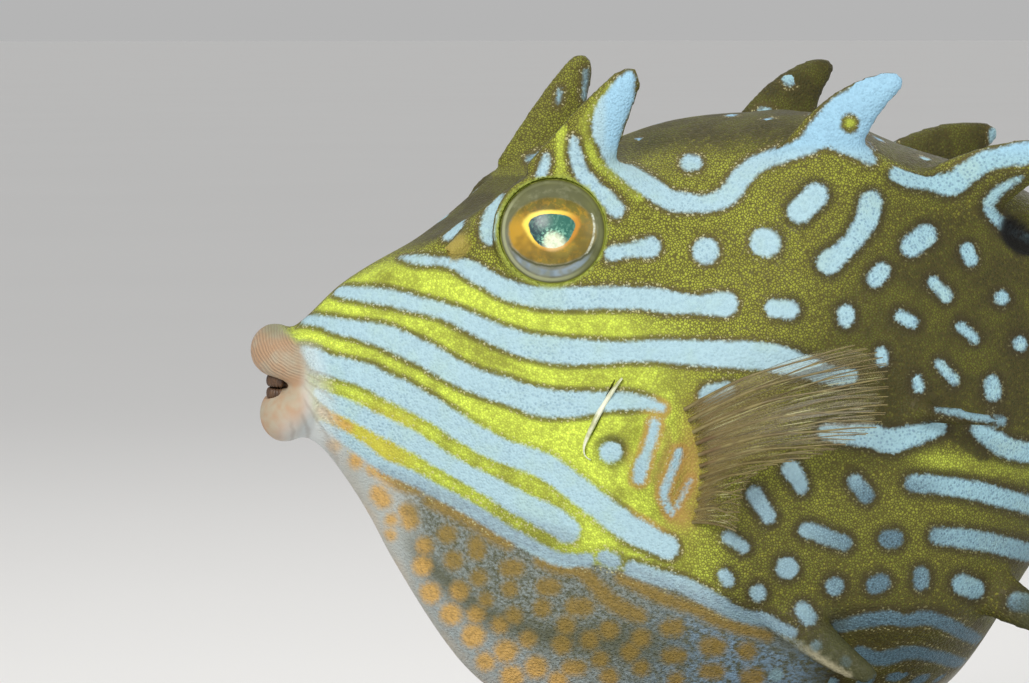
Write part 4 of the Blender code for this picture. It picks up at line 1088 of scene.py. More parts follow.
class Shader:
    # A short way to set out a material's nodes
    def __init__(self, name):
        self.material = bpy.data.materials.new(name)
        self.material.use_nodes = True
        self.tree = self.material.node_tree
        self.bsdf = self.tree.nodes["Principled BSDF"]
        self.coords = self.node("ShaderNodeTexCoord").outputs["Object"]

    def node(self, kind, **settings):
        made = self.tree.nodes.new(kind)
        for key, value in settings.items():
            setattr(made, key, value)
        return made

    def wire(self, value, socket):
        if isinstance(value, bpy.types.NodeSocket):
            self.tree.links.new(value, socket)
        elif isinstance(value, tuple) and len(value) == 3 and socket.type == "RGBA":
            socket.default_value = (*value, 1)
        else:
            socket.default_value = value

    def field(self, name):
        return self.node("ShaderNodeAttribute", attribute_name=name).outputs["Fac"]

    def math(self, operation, *values):
        made = self.node("ShaderNodeMath", operation=operation)
        for value, socket in zip(values, made.inputs):
            self.wire(value, socket)
        return made.outputs[0]

    def times(self, first, *others):
        for value in others:
            first = self.math("MULTIPLY", first, value)
        return first

    def plus(self, first, *others):
        for value in others:
            first = self.math("ADD", first, value)
        return first

    def minus(self, first, second):
        return self.math("SUBTRACT", first, second)

    def swing(self, value, amount):
        # A value from none to one as a swing to both sides of none
        return self.times(self.minus(value, 0.5), amount)

    def ramp(self, value, low, high, start=0, end=1):
        made = self.node("ShaderNodeMapRange", interpolation_type="SMOOTHSTEP")
        for v, socket in zip((value, low, high, start, end), made.inputs):
            self.wire(v, socket)
        return made.outputs[0]

    def mix(self, factor, first, second):
        made = self.node("ShaderNodeMix", data_type="RGBA")
        self.wire(factor, made.inputs["Factor"])
        self.wire(first, made.inputs[6])
        self.wire(second, made.inputs[7])
        return made.outputs[2]

    def noise(self, scale, detail=3, rough=0.55, where=None):
        made = self.node("ShaderNodeTexNoise")
        for name, value in (("Scale", scale), ("Detail", detail), ("Roughness", rough),
                            ("Vector", where or self.coords)):
            self.wire(value, made.inputs[name])
        return made.outputs["Fac"]

    def cells(self, scale, output="Distance", feature="F1"):
        made = self.node("ShaderNodeTexVoronoi", feature=feature)
        self.wire(scale, made.inputs["Scale"])
        self.wire(self.coords, made.inputs["Vector"])
        return made.outputs[output]

    def bump(self, height, distance, strength=1, under=None):
        made = self.node("ShaderNodeBump")
        made.inputs["Strength"].default_value = strength
        made.inputs["Distance"].default_value = distance
        self.wire(height, made.inputs["Height"])
        if under is not None:
            self.wire(under, made.inputs["Normal"])
        return made.outputs[0]

    def finish(self, colour, roughness, normal=None, **uniform):
        self.wire(colour, self.bsdf.inputs["Base Color"])
        self.wire(roughness, self.bsdf.inputs["Roughness"])
        if normal is not None:
            self.wire(normal, self.bsdf.inputs["Normal"])
        for key, value in uniform.items():
            self.bsdf.inputs[key.replace("_", " ")].default_value = value
        return self.material


skinLook = {
    "granule": 0.36,
    # The bright ground, also used for the painted light on the cheek
    "groundBright": (0.68, 0.84, 0.095),
    "ground": (0.34, 0.37, 0.045),
    "groundDeep": (0.19, 0.185, 0.028),
    # The ground's shaded copies, for the painted shade
    "shadedOlive": (0.1, 0.108, 0.018),
    "shadedDeep": (0.043, 0.043, 0.014),
    "gap": (0.06, 0.048, 0.014),
    "edge": (0.085, 0.068, 0.022),
    "edgeRear": (0.04, 0.032, 0.014),
    "edgeGrain": (0.46, 0.43, 0.22),
    "pale": (0.36, 0.53, 0.6),
    "paleWarm": (0.36, 0.52, 0.49),
    "paleHorn": (0.3, 0.52, 0.68),
    # The pale in painted shade towards the tail
    "paleShadedRear": (0.3, 0.5, 0.57),
    "paleLow": (0.235, 0.32, 0.37),
    # The pale in painted shade
    "paleShaded": (0.115, 0.2, 0.25),
    "paleDot": (0.13, 0.22, 0.32),
    # The dots and grain lines in painted shade
    "dotShaded": (0.035, 0.055, 0.065),
    "bellyGround": (0.31, 0.365, 0.375),
    "bellyShade": (0.09, 0.095, 0.055),
    "bellySpeck": (0.24, 0.26, 0.25),
    "chin": (0.44, 0.47, 0.45),
    "orange": (0.58, 0.35, 0.095),
    "tan": (0.26, 0.18, 0.045),
    "gold": (0.55, 0.46, 0.06),
    "nose": (0.34, 0.27, 0.065),
    "fleck": (0.25, 0.41, 0.6),
    "rootOrange": (0.35, 0.21, 0.06),
    "cream": (0.48, 0.4, 0.3),
    "lip": (0.4, 0.26, 0.16),
    "lipPale": (0.39, 0.34, 0.25),
    "lipGreen": (0.2, 0.22, 0.13),
    "lipWhite": (0.55, 0.58, 0.58),
    "horn": (0.048, 0.052, 0.024),
    "hornEdge": (0.46, 0.42, 0.28),
    "rimGreen": (0.28, 0.33, 0.055),
    "hollow": (0.006, 0.006, 0.006),
    # Painted shade in the grooves of the lips
    "creaseShade": (0.21, 0.15, 0.105),
}


def skinGround(s, look, grain, edges):
    # The yellow-green ground with its painted shade, and the blue-grey belly with painted shade and its warm
    # marks
    tint, gaps, broad, fine = grain["tint"], grain["gaps"], grain["broad"], grain["fine"]
    keelward, chin, flecks = s.field("keelward"), s.field("chin"), s.field("flecks")
    fresh = s.mix(s.field("glow"), look["ground"], look["groundBright"])
    ground = s.mix(s.ramp(broad, 0.32, 0.6, 0.35, 1), look["groundDeep"], fresh)
    deep = s.mix(s.ramp(broad, 0.4, 0.62), look["shadedDeep"], look["shadedOlive"])
    # Painted shade: where the shade field is high, the lit ground turns to its shaded olive copy
    shade = s.ramp(s.plus(s.field("shadeAndOlive"), s.swing(broad, 0.6)), 0.02, 0.98)
    lit = s.mix(s.ramp(tint, 0.1, 0.9, 0, 0.42), ground, look["groundDeep"])
    speck = s.times(s.ramp(tint, 0.45, 0.05, 0, 0.8), s.ramp(s.field("shadeAndOlive"), 1, 0.8, 0.3, 1))
    ground = s.mix(shade, lit, s.mix(speck, deep, look["groundDeep"]))
    mesh = s.times(s.ramp(gaps, 1, 0), s.ramp(s.field("glow"), 1, 0, 0.3, 0.85))
    ground = s.mix(mesh, ground, look["gap"])

    # Painted shade on the belly: darker away from the keel, and in a band of shadow along it
    mottle = s.mix(keelward, look["bellyShade"], look["bellySpeck"])
    sea = s.mix(s.ramp(s.noise(1900, 3, 0.7), 0.34, 0.66), mottle, look["bellyGround"])
    bellyShading = s.times(s.ramp(keelward, 0.8, 0.1), s.ramp(chin, 0.8, 0), 0.35)
    bellyShading = s.math("MAXIMUM", bellyShading, s.times(s.field("band"), 0.86))
    fleck = s.mix(s.ramp(s.noise(1100, 3, 0.7), 0.36, 0.62), look["bellyShade"], look["fleck"])
    sea = s.mix(flecks, sea, fleck)
    sea = s.mix(s.times(bellyShading, s.ramp(flecks, 1, 0, 0.4, 1)), sea, look["bellyShade"])
    sea = s.mix(s.ramp(chin, 0, 1, 0, 0.7), sea, look["chin"])
    ground = s.mix(s.times(chin, 0.6), ground, look["gold"])
    ground = s.mix(s.field("belly"), ground, sea)
    spot = s.mix(s.ramp(keelward, 0, 1), look["tan"], look["orange"])
    spot = s.mix(s.ramp(fine, 0.4, 0.7, 0, 0.35), spot, look["edge"])
    return s.mix(s.ramp(edges["warm"], 0.75, -0.55, 0, 0.92), ground, spot)


def markRims(s, look, ground, grain, edges):
    # The dark rims round the pale marks, with a row of light grains along them
    ring, ragged = s.field("ring"), edges["pale"]
    edge = s.mix(s.ramp(ring, 0.2, 0.8), look["edge"], look["edgeRear"])
    edge = s.mix(s.field("lobe"), edge, look["rootOrange"])
    narrow = s.times(s.ramp(ragged, 1.05, 0.4), s.ramp(ring, 0.6, 0.1, 0, 0.8))
    wide = s.times(s.ramp(ragged, 1.55, 0.4), s.ramp(ring, 0.1, 0.6, 0, 0.78))
    rim = s.times(s.math("MAXIMUM", narrow, wide), s.ramp(s.field("belly"), 0.6, 0, 0.05, 1),
                  s.ramp(s.field("chin"), 0.9, 0.2, 0.25, 1),
                  s.ramp(s.field("lowGlow"), 0, 1, 1, 0.35))
    colour = s.mix(rim, ground, edge)
    grains = s.times(s.ramp(grain["tint"], 0.34, 0.24), s.ramp(s.field("pale"), 0.85, 0.55),
                     s.ramp(grain["gaps"], 0.3, 0.8), s.ramp(ring, 0, 0.8, 0.75, 0.2))
    colour = s.mix(grains, colour, look["edgeGrain"])
    return s.mix(s.times(s.field("rootGlow"), 0.8), colour, look["rootOrange"])


def paleWash(s, look, grain):
    # The pale blue of the marks, in painted shade towards the tail, at the top and by the fin, and more
    # dotted towards the tail
    paleShade, shadedAndDim, onHorn = s.field("paleShade"), s.field("shadedAndDim"), s.field("onHorn")
    # Painted shade: the pale darker towards the tail and where the top faces away
    wash = s.mix(paleShade, look["pale"], look["paleShadedRear"])
    wash = s.mix(s.ramp(s.noise(240, 3), 0.45, 0.7, 0, 0.5), wash, look["paleWarm"])
    wash = s.mix(onHorn, wash, look["paleHorn"])
    low = s.times(s.field("lowStripe"), s.ramp(grain["fine"], 0.3, 0.7, 0.45, 0.95))
    wash = s.mix(low, wash, look["paleLow"])
    # Painted shade low behind the fin, and duller marks on the side spine and far horn
    wash = s.mix(shadedAndDim, wash, look["paleShaded"])
    wash = s.mix(s.ramp(grain["tint"], 0.3, 0.9, 0, 0.14), wash, look["paleDot"])
    fewDots = s.ramp(s.noise(60, 1), 0.45, 0.62, 0, 0.35)
    dots = s.times(s.ramp(s.cells(2100), 0.46, 0.22), s.ramp(paleShade, 0, 0.6, fewDots, 0.6),
                   s.ramp(onHorn, 0, 1, 1, 0.2))
    wash = s.mix(dots, wash, s.mix(shadedAndDim, look["paleDot"], look["dotShaded"]))
    lines = s.times(s.ramp(grain["gaps"], 0.8, 0), s.ramp(shadedAndDim, 0.1, 0.9, 0, 0.45))
    return s.mix(lines, wash, look["dotShaded"])


def lipCreases(s, lip):
    # Fine folds: rings on the upper lip, and rays on the chin
    rings = s.math("SINE", s.plus(s.times(s.field("lipRing"), 16), s.times(s.noise(300, 2), 9)))
    rays = s.math("SINE", s.plus(s.times(s.field("lipTurn"), 34), s.times(s.noise(300, 2), 6)))
    onChin = s.ramp(s.field("lipWhite"), 0.15, 0.6)
    return s.plus(s.times(rings, lip, s.field("lipFold")), s.times(rays, onChin, 0.6))


def skinMaterial():
    look = skinLook
    s = Shader("skin")
    size = 1000 / look["granule"]
    cellTint = s.node("ShaderNodeSeparateColor")
    s.wire(s.cells(size, "Color"), cellTint.inputs[0])
    grain = {"tint": cellTint.outputs[0], "broad": s.noise(170, 3), "fine": s.noise(1500, 2),
             "gaps": s.ramp(s.cells(size, feature="DISTANCE_TO_EDGE"), 0.02, 0.26)}
    broad = grain["broad"]
    unevenness = s.plus(s.swing(grain["tint"], 0.26), s.swing(s.noise(420, 2), 0.4))
    edges = {key: s.plus(s.field(key), unevenness) for key in ("pale", "warm")}
    colour = markRims(s, look, skinGround(s, look, grain, edges), grain, edges)
    colour = s.mix(s.ramp(edges["pale"], 0.34, -0.36), colour, paleWash(s, look, grain))

    keel = s.mix(s.ramp(broad, 0.4, 0.6, 0, 0.45), look["cream"], look["bellyGround"])
    colour = s.mix(s.times(s.field("cream"), s.ramp(edges["warm"], -0.2, 0.4, 0.35, 0.85)), colour, keel)
    # Of these, hollow paints shade near black into the notch behind the rear spine
    for key, share, tone in (("spineGlow", 0.8, "horn"), ("spineEdge", 1, "hornEdge"),
                             ("eyeRim", 1, "rimGreen"), ("hollow", 1, "hollow"), ("nose", 0.85, "nose"),
                             ("halo", 1, "lipWhite")):
        colour = s.mix(s.times(s.field(key), share), colour, look[tone])

    lip = s.field("lip")
    flesh = s.mix(s.ramp(s.noise(260, 3), 0.38, 0.64), look["lip"], look["lipPale"])
    flesh = s.mix(s.field("lipTop"), flesh, look["lipGreen"])
    flesh = s.mix(s.times(s.field("lipWhite"), 0.85), flesh, look["lipWhite"])
    colour = s.mix(lip, colour, flesh)
    creases = lipCreases(s, lip)
    # Painted shade in the lips' grooves, where the folds sink
    colour = s.mix(s.ramp(creases, 0, 0.9, 0, 0.36), colour, look["creaseShade"])
    granules = s.ramp(s.cells(size), 0.05, 0.75, 1, 0)
    height = s.mix(lip, granules, s.plus(s.times(creases, -0.5), 0.5))
    normal = s.bump(height, 0.0001, 0.9, s.bump(broad, 0.0002, 0.5))
    return s.finish(colour, s.ramp(grain["fine"], 0.2, 0.8, 0.42, 0.58), normal, Specular_IOR_Level=0.14)


eyeLook = {
    "radius": 6.86,         # of the clear dome, where it meets the skin
    "dome": 2.7,
    "sink": 3.4,
    "level": 16.6,          # reach of the dome's edge along the eye's axis
    "iris": (5.6, 4.3),
    "irisMiddle": (0, -0.15),
    "pupil": (2.78, 2.2),
    "pupilMiddle": (-0.05, -0.2),
    # The next entry places the pupil's painted highlight
    "highlightSpot": (0.3, -1.7),   # place of the pupil's bright spot
    "gold": (0.44, 0.26, 0.03),
    "goldRear": (0.26, 0.205, 0.04),
    "goldEdge": (0.15, 0.13, 0.022),
    "goldGrain": (0.46, 0.26, 0.02),
    "goldDark": (0.09, 0.062, 0.012),
    "ringWarm": (0.52, 0.24, 0.035),
    "ringBright": (0.88, 0.66, 0.1),
    "pupilDark": (0.012, 0.045, 0.055),
    "pupilGreen": (0.03, 0.13, 0.1),
    # The painted highlight in the pupil: its green glints, white middle and warm spill into the iris
    "greenGlint": (0.28, 0.6, 0.45),
    "highlightWhite": (0.72, 0.92, 0.8),
    "highlightSpill": (0.88, 0.74, 0.4),
    "veilLow": (0.19, 0.2, 0.16),
    "veilTop": (0.13, 0.135, 0.062),
    "veilRear": (0.16, 0.17, 0.055),
    "veilBlue": (0.26, 0.34, 0.42),
    "veilDark": (0.085, 0.09, 0.045),
    "veilPale": (0.24, 0.25, 0.15),
    "irisLine": (0.06, 0.065, 0.025),
    # The painted highlight on the dome, next
    "shine": (0.66, 0.7, 0.58),
    "bandPale": (0.4, 0.42, 0.26),
    "bandDark": (0.17, 0.17, 0.06),
    "rim": (0.38, 0.42, 0.07),
}


def eyePlane(side):
    # The eye's centre, with the directions to the fish's tail and upwards in its plane, and out of it
    axis = eyeAxis(side)
    upward = (Vector((0, 0, 1)) - axis * axis.z).normalized()
    rearward = (Vector((1, 0, 0)) - axis * axis.x - upward * upward.x).normalized()
    centre = eyeCentre(side) + axis * (eyeLook["level"] - eyes["depth"]) * mm
    return centre, rearward, upward, axis


def eyeProfile(count=44):
    # Radius and height of the dome from its top to its edge, then of the back of the eye
    edge, dome = eyeLook["radius"], eyeLook["dome"]
    bow = (edge**2 + dome**2) / (2 * dome)
    limit = math.asin(edge / bow)
    front = [(bow * math.sin(t), bow * math.cos(t) - bow + dome) for t in np.linspace(0, limit, count)[1:]]
    back = [(edge * math.cos(t), -eyeLook["sink"] * math.sin(t))
            for t in np.linspace(0, math.pi / 2, 10)[1:-1]]
    return front + back


def latheEye(name, side):
    centre, rearward, upward, axis = eyePlane(side)
    profile = eyeProfile()
    bm = bmesh.new()
    turns = fullTurn(120)
    top = bm.verts.new(centre + axis * eyeLook["dome"] * mm)
    base = bm.verts.new(centre - axis * eyeLook["sink"] * mm)
    rows = []
    for radius, height in profile:
        spokes = [(rearward * math.cos(t) + upward * math.sin(t)) * radius for t in turns]
        rows.append([bm.verts.new(centre + (spoke + axis * height) * mm) for spoke in spokes])
    bridge(bm, [[top], *rows, [base]])
    mesh = toMesh(name, bm)
    offsets = coordinates(mesh) / mm - np.array(centre) / mm
    u, v, depth = (offsets @ np.array(d) for d in (rearward, upward, axis))
    iris = np.hypot((u - eyeLook["irisMiddle"][0]) / eyeLook["iris"][0],
                    (v - eyeLook["irisMiddle"][1]) / eyeLook["iris"][1])
    pu, pv = u - eyeLook["pupilMiddle"][0], v - eyeLook["pupilMiddle"][1]
    narrowing = 1.0 - 0.24 * np.clip(-pv / eyeLook["pupil"][1], -0.4, 1)
    flat = np.where(pv > 0, 3, 2.1)
    pupil = (np.abs(pu / (eyeLook["pupil"][0] * narrowing)) ** 2.4
             + np.abs(pv / eyeLook["pupil"][1]) ** flat) ** (1 / 2.4)
    offArc = smoothStep(0.2, -0.5, u - 3.2) + smoothStep(-3, -3.6, v) + smoothStep(2.2, 2.8, v)
    arc = np.abs(np.hypot(u + 0.4, v - 0.3) - 5.75) + 2.2 * offArc
    for key, values in {"iris": (iris - 1) * 4.6, "pupil": (pupil - 1) * 2.5, "edge": np.hypot(u, v),
                        "across": u, "upward": v, "arc": arc}.items():
        setAttribute(mesh, key, values)
    mesh.shade_smooth()
    return link(name, mesh)


def eyeGold(s, across, up, pupil, fine, broad):
    # The golden iris, brightest in a ring round the pupil
    look = eyeLook
    gold = s.mix(s.ramp(across, -4.5, 4.5), look["gold"], look["goldRear"])
    for low, high, share in ((0.3, 3, 1), (-1.8, -4, 0.8)):
        gold = s.mix(s.ramp(up, low, high, 0, share), gold, look["goldEdge"])
    gold = s.mix(s.ramp(fine, 0.45, 0.62, 0, 0.5), gold, look["goldGrain"])
    gold = s.mix(s.ramp(broad, 0.42, 0.62, 0, 0.55), gold, look["goldDark"])
    bright = s.mix(s.ramp(s.minus(up, across), -2.4, 2.2), look["ringWarm"], look["ringBright"])
    return s.mix(s.ramp(s.plus(pupil, s.times(up, -0.07)), 0.8, 0.25, 0, 0.95), gold, bright)


def pupilColours(s, across, up, fine, waver):
    # The green pupil with a painted highlight low down, white amid green glints, and how strong that
    # highlight is
    look = eyeLook
    dark = s.mix(s.ramp(across, -2.2, 0.6), look["pupilDark"], look["pupilGreen"])
    greenGlint = s.ramp(s.cells(3600, "Color"), 0.45, 0.8)
    aside, below = s.minus(across, look["highlightSpot"][0]), s.minus(up, look["highlightSpot"][1])
    away = s.math("SQRT", s.plus(s.times(aside, aside), s.times(below, below)))
    glow = s.ramp(s.plus(away, s.times(waver, 2.5)), 2.7, 0.3)
    dark = s.mix(s.times(greenGlint, s.ramp(glow, 0, 0.6, 0.15, 0.95)), dark, look["greenGlint"])
    highlightSpot = s.times(s.ramp(glow, 0.35, 1, 0, 0.85), s.ramp(fine, 0.3, 0.6, 0.45, 1))
    return s.mix(highlightSpot, dark, look["highlightWhite"]), glow


def eyeVeil(s, across, up, iris, edge, broad):
    # What shows through the dome outside the iris
    look = eyeLook
    veil = s.mix(s.ramp(up, -2.5, 3), look["veilLow"], look["veilTop"])
    veil = s.mix(s.ramp(across, 1, 5.5, 0, 0.6), veil, look["veilRear"])
    cold = s.times(s.ramp(up, -2.2, -4.4), s.ramp(edge, 6, 5.7), s.ramp(edge, 4.9, 5.3),
                   s.ramp(broad, 0.36, 0.5))
    veil = s.mix(cold, veil, look["veilBlue"])
    veil = s.mix(s.ramp(broad, 0.42, 0.62, 0, 0.5), veil, look["veilDark"])
    veil = s.mix(s.ramp(s.noise(700, 3), 0.5, 0.66, 0, 0.4), veil, look["veilPale"])
    line = s.times(s.ramp(iris, 0, 0.12), s.ramp(iris, 0.42, 0.2), s.ramp(up, -0.5, -3, 0.15, 0.9))
    return s.mix(line, veil, look["irisLine"])


def eyeMaterial():
    look = eyeLook
    s = Shader("eye")
    iris, pupil, edge, across, up = (s.field(k) for k in ("iris", "pupil", "edge", "across", "upward"))
    fine, broad = s.noise(1400, 3, 0.7), s.noise(330, 2)
    waver = s.swing(s.noise(900, 3, 0.6), 0.34)
    pupil, iris = s.plus(pupil, waver), s.plus(iris, waver)
    dark, glow = pupilColours(s, across, up, fine, waver)
    colour = s.mix(s.ramp(pupil, 0.07, -0.07), eyeGold(s, across, up, pupil, fine, broad), dark)
    # The painted highlight spills warm light into the iris round the pupil
    highlightSpill = s.times(s.ramp(glow, 0.3, 0.9, 0, 0.35), s.ramp(pupil, 0.75, 0.1))
    colour = s.mix(highlightSpill, colour, look["highlightSpill"])
    irisEdge = s.ramp(s.plus(iris, s.swing(fine, 0.5)), -0.25, 0.2)
    colour = s.mix(irisEdge, colour, eyeVeil(s, across, up, iris, edge, broad))
    # A painted highlight: a thin bright arc near the dome's rear edge
    shine = s.times(s.ramp(s.field("arc"), 0.22, 0.03), s.ramp(fine, 0.38, 0.56, 0.25, 0.95))
    colour = s.mix(shine, colour, look["shine"])
    band = s.times(s.ramp(edge, 5.95, 6.2), s.ramp(edge, 6.55, 6.35))
    turned = s.ramp(s.plus(across, up), 1.5, -4.5, 0.15, 0.8)
    colour = s.mix(s.times(band, turned), colour, look["bandPale"])
    colour = s.mix(s.times(s.ramp(edge, 6.45, 6.6), 0.8), colour, look["bandDark"])
    colour = s.mix(s.ramp(edge, 6.6, 6.74), colour, look["rim"])
    return s.finish(colour, 0.3, s.bump(fine, 0.00003, 0.25), Coat_Weight=0.06, Coat_Roughness=0.1,
                    Specular_IOR_Level=0.25)


fins = {
    "pectoral": {
        "rays": 11, "girth": (0.29, 0.08),    # radius of a ray at its root and at its tip
        "root": ((53.2, -1.1), (54.3, -15.4)), "rootBulge": 1.4, "rise": 0.8, "bend": 11,
        "angles": [(0, 21.6), (0.2, 16.4), (0.4, 10), (0.6, 10.4), (0.75, 16), (0.9, 4.7), (1, -6)],
        "lengths": [(0, 23.5), (0.1, 26.8), (0.2, 27.2), (0.4, 25.3), (0.5, 22), (0.6, 18.6), (0.7, 13.2),
                    (0.8, 9.8), (1, 7.5)],
        "outward": [(0, 24), (0.3, 28), (0.5, 36), (0.7, 52), (0.85, 56), (1, 50)],
    },
    "dorsal": {"rays": 10, "base": (107, 119.5), "lengths": [(0, 15.5), (0.35, 20), (1, 11)],
               "angles": (68, 28), "girth": (0.5, 0.16)},
    "anal": {"rays": 10, "base": (109, 120.5), "lengths": [(0, 14.5), (0.35, 18.5), (1, 10.5)],
             "angles": (-66, -26), "girth": (0.5, 0.16)},
    "caudal": {"rays": 11, "root": (9, -5.4), "angles": (27, -27), "bulge": 3.6, "curl": 2.6,
               "girth": (0.75, 0.18)},
    "sheet": 0.16,
    "steps": 36,
    "sides": 8,
    "jointPitch": 9000,     # radians a metre
    "jointSwell": 0.14,
    "split": ((0.3, 0.75), (0.58, 1)),    # where along its length a ray splits in two, then in four
    "splay": 0.62,
}

# Colours at root and end, the streaks between them, and how clear a sheet is at its root and edge
finLooks = {
    "pectoral": {"rays": ((0.115, 0.085, 0.026), (0.2, 0.165, 0.055)),
                 "sheet": ((0.185, 0.13, 0.042), (0.25, 0.21, 0.072), (0.07, 0.055, 0.02)),
                 "clear": (0.68, 0.22)},
    "median": {"rays": ((0.4, 0.24, 0.045), (0.3, 0.16, 0.035)),
               "sheet": ((0.38, 0.26, 0.05), (0.46, 0.33, 0.09), (0.24, 0.14, 0.04)),
               "clear": (0.92, 0.62)},
    "rayBlotch": (0.1, 0.045, 0.02),
    # The colour of the painted highlight streaks on the sheets
    "gleam": (0.47, 0.45, 0.22),
}


def pectoralPoint(side):
    look = fins["pectoral"]
    (s0, l0), (s1, l1) = look["root"]

    def point(u, t):
        station = s0 + (s1 - s0) * u + look["rootBulge"] * math.sin(math.pi * u)
        level = l0 + (l1 - l0) * u
        reach = along(carapace["sideRidgeReach"], station) + look["rise"]
        turn = math.radians(along(look["angles"], u) + look["bend"] * (1 - t))
        outward = math.radians(along(look["outward"], u))
        out = along(look["lengths"], u) * t
        ripple = 0.22 * math.sin(u * 21) * t
        return place(station + math.cos(turn) * math.cos(outward) * out,
                     side * (reach + math.sin(outward) * (1 - 0.3 * t) * out + ripple),
                     level + math.sin(turn) * out)
    return point


def medianPoint(key):
    look = fins[key]
    first, last = look["angles"]
    edge, up = (tail["top"], 1) if key == "dorsal" else (tail["bottom"], -1)

    def point(u, t):
        station = look["base"][0] + (look["base"][1] - look["base"][0]) * u
        level = along(edge, station) - up * 1.2
        turn = math.radians(first + (last - first) * u - up * 12 * t * (1 - u))
        out = along(look["lengths"], u) * t
        sway = 1.1 * math.sin(math.pi * 0.9 * t) * (1 - 0.5 * u)
        return place(station + math.cos(turn) * out, sway, level + math.sin(turn) * out)
    return point


def caudalPoint(u, t):
    look = fins["caudal"]
    (top, bottom), (first, last) = look["root"], look["angles"]
    level = top + (bottom - top) * u
    turn = math.radians(first + (last - first) * u)
    reachBack = fish["length"] - fish["tailEnd"] - look["bulge"] * (2 * u - 1) ** 2
    out = reachBack * (t * 1.045 - 0.045)
    curl = look["curl"] * math.sin(math.pi * 0.5 * t) * math.cos(math.pi * u)
    return place(fish["tailEnd"] + out, curl * t, level + math.tan(turn) * out)


def rayLines(name, point, count, girth):
    # Each ray splits in two and then in four on its way out. A width goes with every point.
    verts, edges, widths = [], [], []
    gap = 1 / (count - 1)
    firstSplit, lastSplit = fins["split"]
    for ray in range(count):
        u = ray * gap
        lean = 1 if ray < (count - 1) / 2 else -1
        for branch in (-1.5, -0.5, 0.5, 1.5):
            if branch != 0.5 and (u == 0 or u == 1) and branch * lean < 0:
                continue
            start = 0 if branch == 0.5 else (firstSplit if branch < 0 else lastSplit)[0]
            line = np.linspace(start, 1, fins["steps"] if start == 0 else fins["steps"] // 2)
            for k, t in enumerate(line):
                first = smoothStep(*firstSplit, t) * (0.5 if branch > 0 else -0.5)
                outer = 0.25 if abs(branch) > 1 else -0.25
                second = smoothStep(*lastSplit, t) * outer * math.copysign(1, branch)
                across = min(max(u + (first + second) * fins["splay"] * gap, 0), 1)
                verts.append(point(across, t))
                widths.append((girth[0] + (girth[1] - girth[0]) * t**0.6) * (1 if start == 0 else 0.72))
                if k:
                    edges.append((len(verts) - 2, len(verts) - 1))
    mesh = bpy.data.meshes.new(name)
    mesh.from_pydata(verts, edges, [])
    setAttribute(mesh, "width", np.array(widths) * mm)
    return mesh


def rayTree(material):
    # Turns lines into round tapered rays
    tree = bpy.data.node_groups.new("finRays", "GeometryNodeTree")
    face = (("Geometry", "INPUT", "Geometry"), ("Sides", "INPUT", "Int"), ("Joint swell", "INPUT", "Float"),
            ("Geometry", "OUTPUT", "Geometry"))
    sockets = [tree.interface.new_socket(name, in_out=way, socket_type="NodeSocket" + kind)
               for name, way, kind in face]
    kinds = {"given": "NodeGroupInput", "width": "GeometryNodeInputNamedAttribute",
             "curve": "GeometryNodeMeshToCurve", "spline": "GeometryNodeSplineParameter",
             "joints": "ShaderNodeMath", "wave": "ShaderNodeMath", "swelled": "ShaderNodeMath",
             "scale": "ShaderNodeMath", "circle": "GeometryNodeCurvePrimitiveCircle",
             "sweep": "GeometryNodeCurveToMesh", "smooth": "GeometryNodeSetShadeSmooth",
             "real": "GeometryNodeRealizeInstances", "paint": "GeometryNodeSetMaterial",
             "out": "NodeGroupOutput"}
    nodes = {key: tree.nodes.new(kind) for key, kind in kinds.items()}
    for key, operation in (("joints", "MULTIPLY"), ("wave", "SINE"), ("swelled", "MULTIPLY_ADD"),
                           ("scale", "MULTIPLY")):
        nodes[key].operation = operation
    for key, socket, value in (("width", "Name", "width"), ("joints", 1, fins["jointPitch"]),
                               ("swelled", 2, 1), ("circle", "Radius", 1), ("sweep", "Fill Caps", True),
                               ("paint", "Material", material)):
        nodes[key].inputs[socket].default_value = value
    wires = [("given", "Geometry", "curve", "Mesh"), ("spline", "Length", "joints", 0),
             ("joints", 0, "wave", 0), ("wave", 0, "swelled", 0), ("given", "Joint swell", "swelled", 1),
             ("width", "Attribute", "scale", 0), ("swelled", 0, "scale", 1),
             ("given", "Sides", "circle", "Resolution"), ("curve", 0, "sweep", "Curve"),
             ("circle", 0, "sweep", "Profile Curve"), ("scale", 0, "sweep", "Scale"),
             ("sweep", 0, "smooth", 0), ("smooth", 0, "real", 0), ("real", 0, "paint", 0),
             ("paint", 0, "out", 0)]
    for source, output, target, entry in wires:
        tree.links.new(nodes[source].outputs[output], nodes[target].inputs[entry])
    return tree, {"sides": sockets[1].identifier, "swell": sockets[2].identifier}


def makeRays(name, point, count, tree, sockets, girth):
    rays = link(name, rayLines(name, point, count, girth))
    grow = rays.modifiers.new("rays", "NODES")
    grow.node_group = tree
    grow[sockets["sides"]] = fins["sides"]
    grow[sockets["swell"]] = fins["jointSwell"]
    takeResult(rays)
    return rays


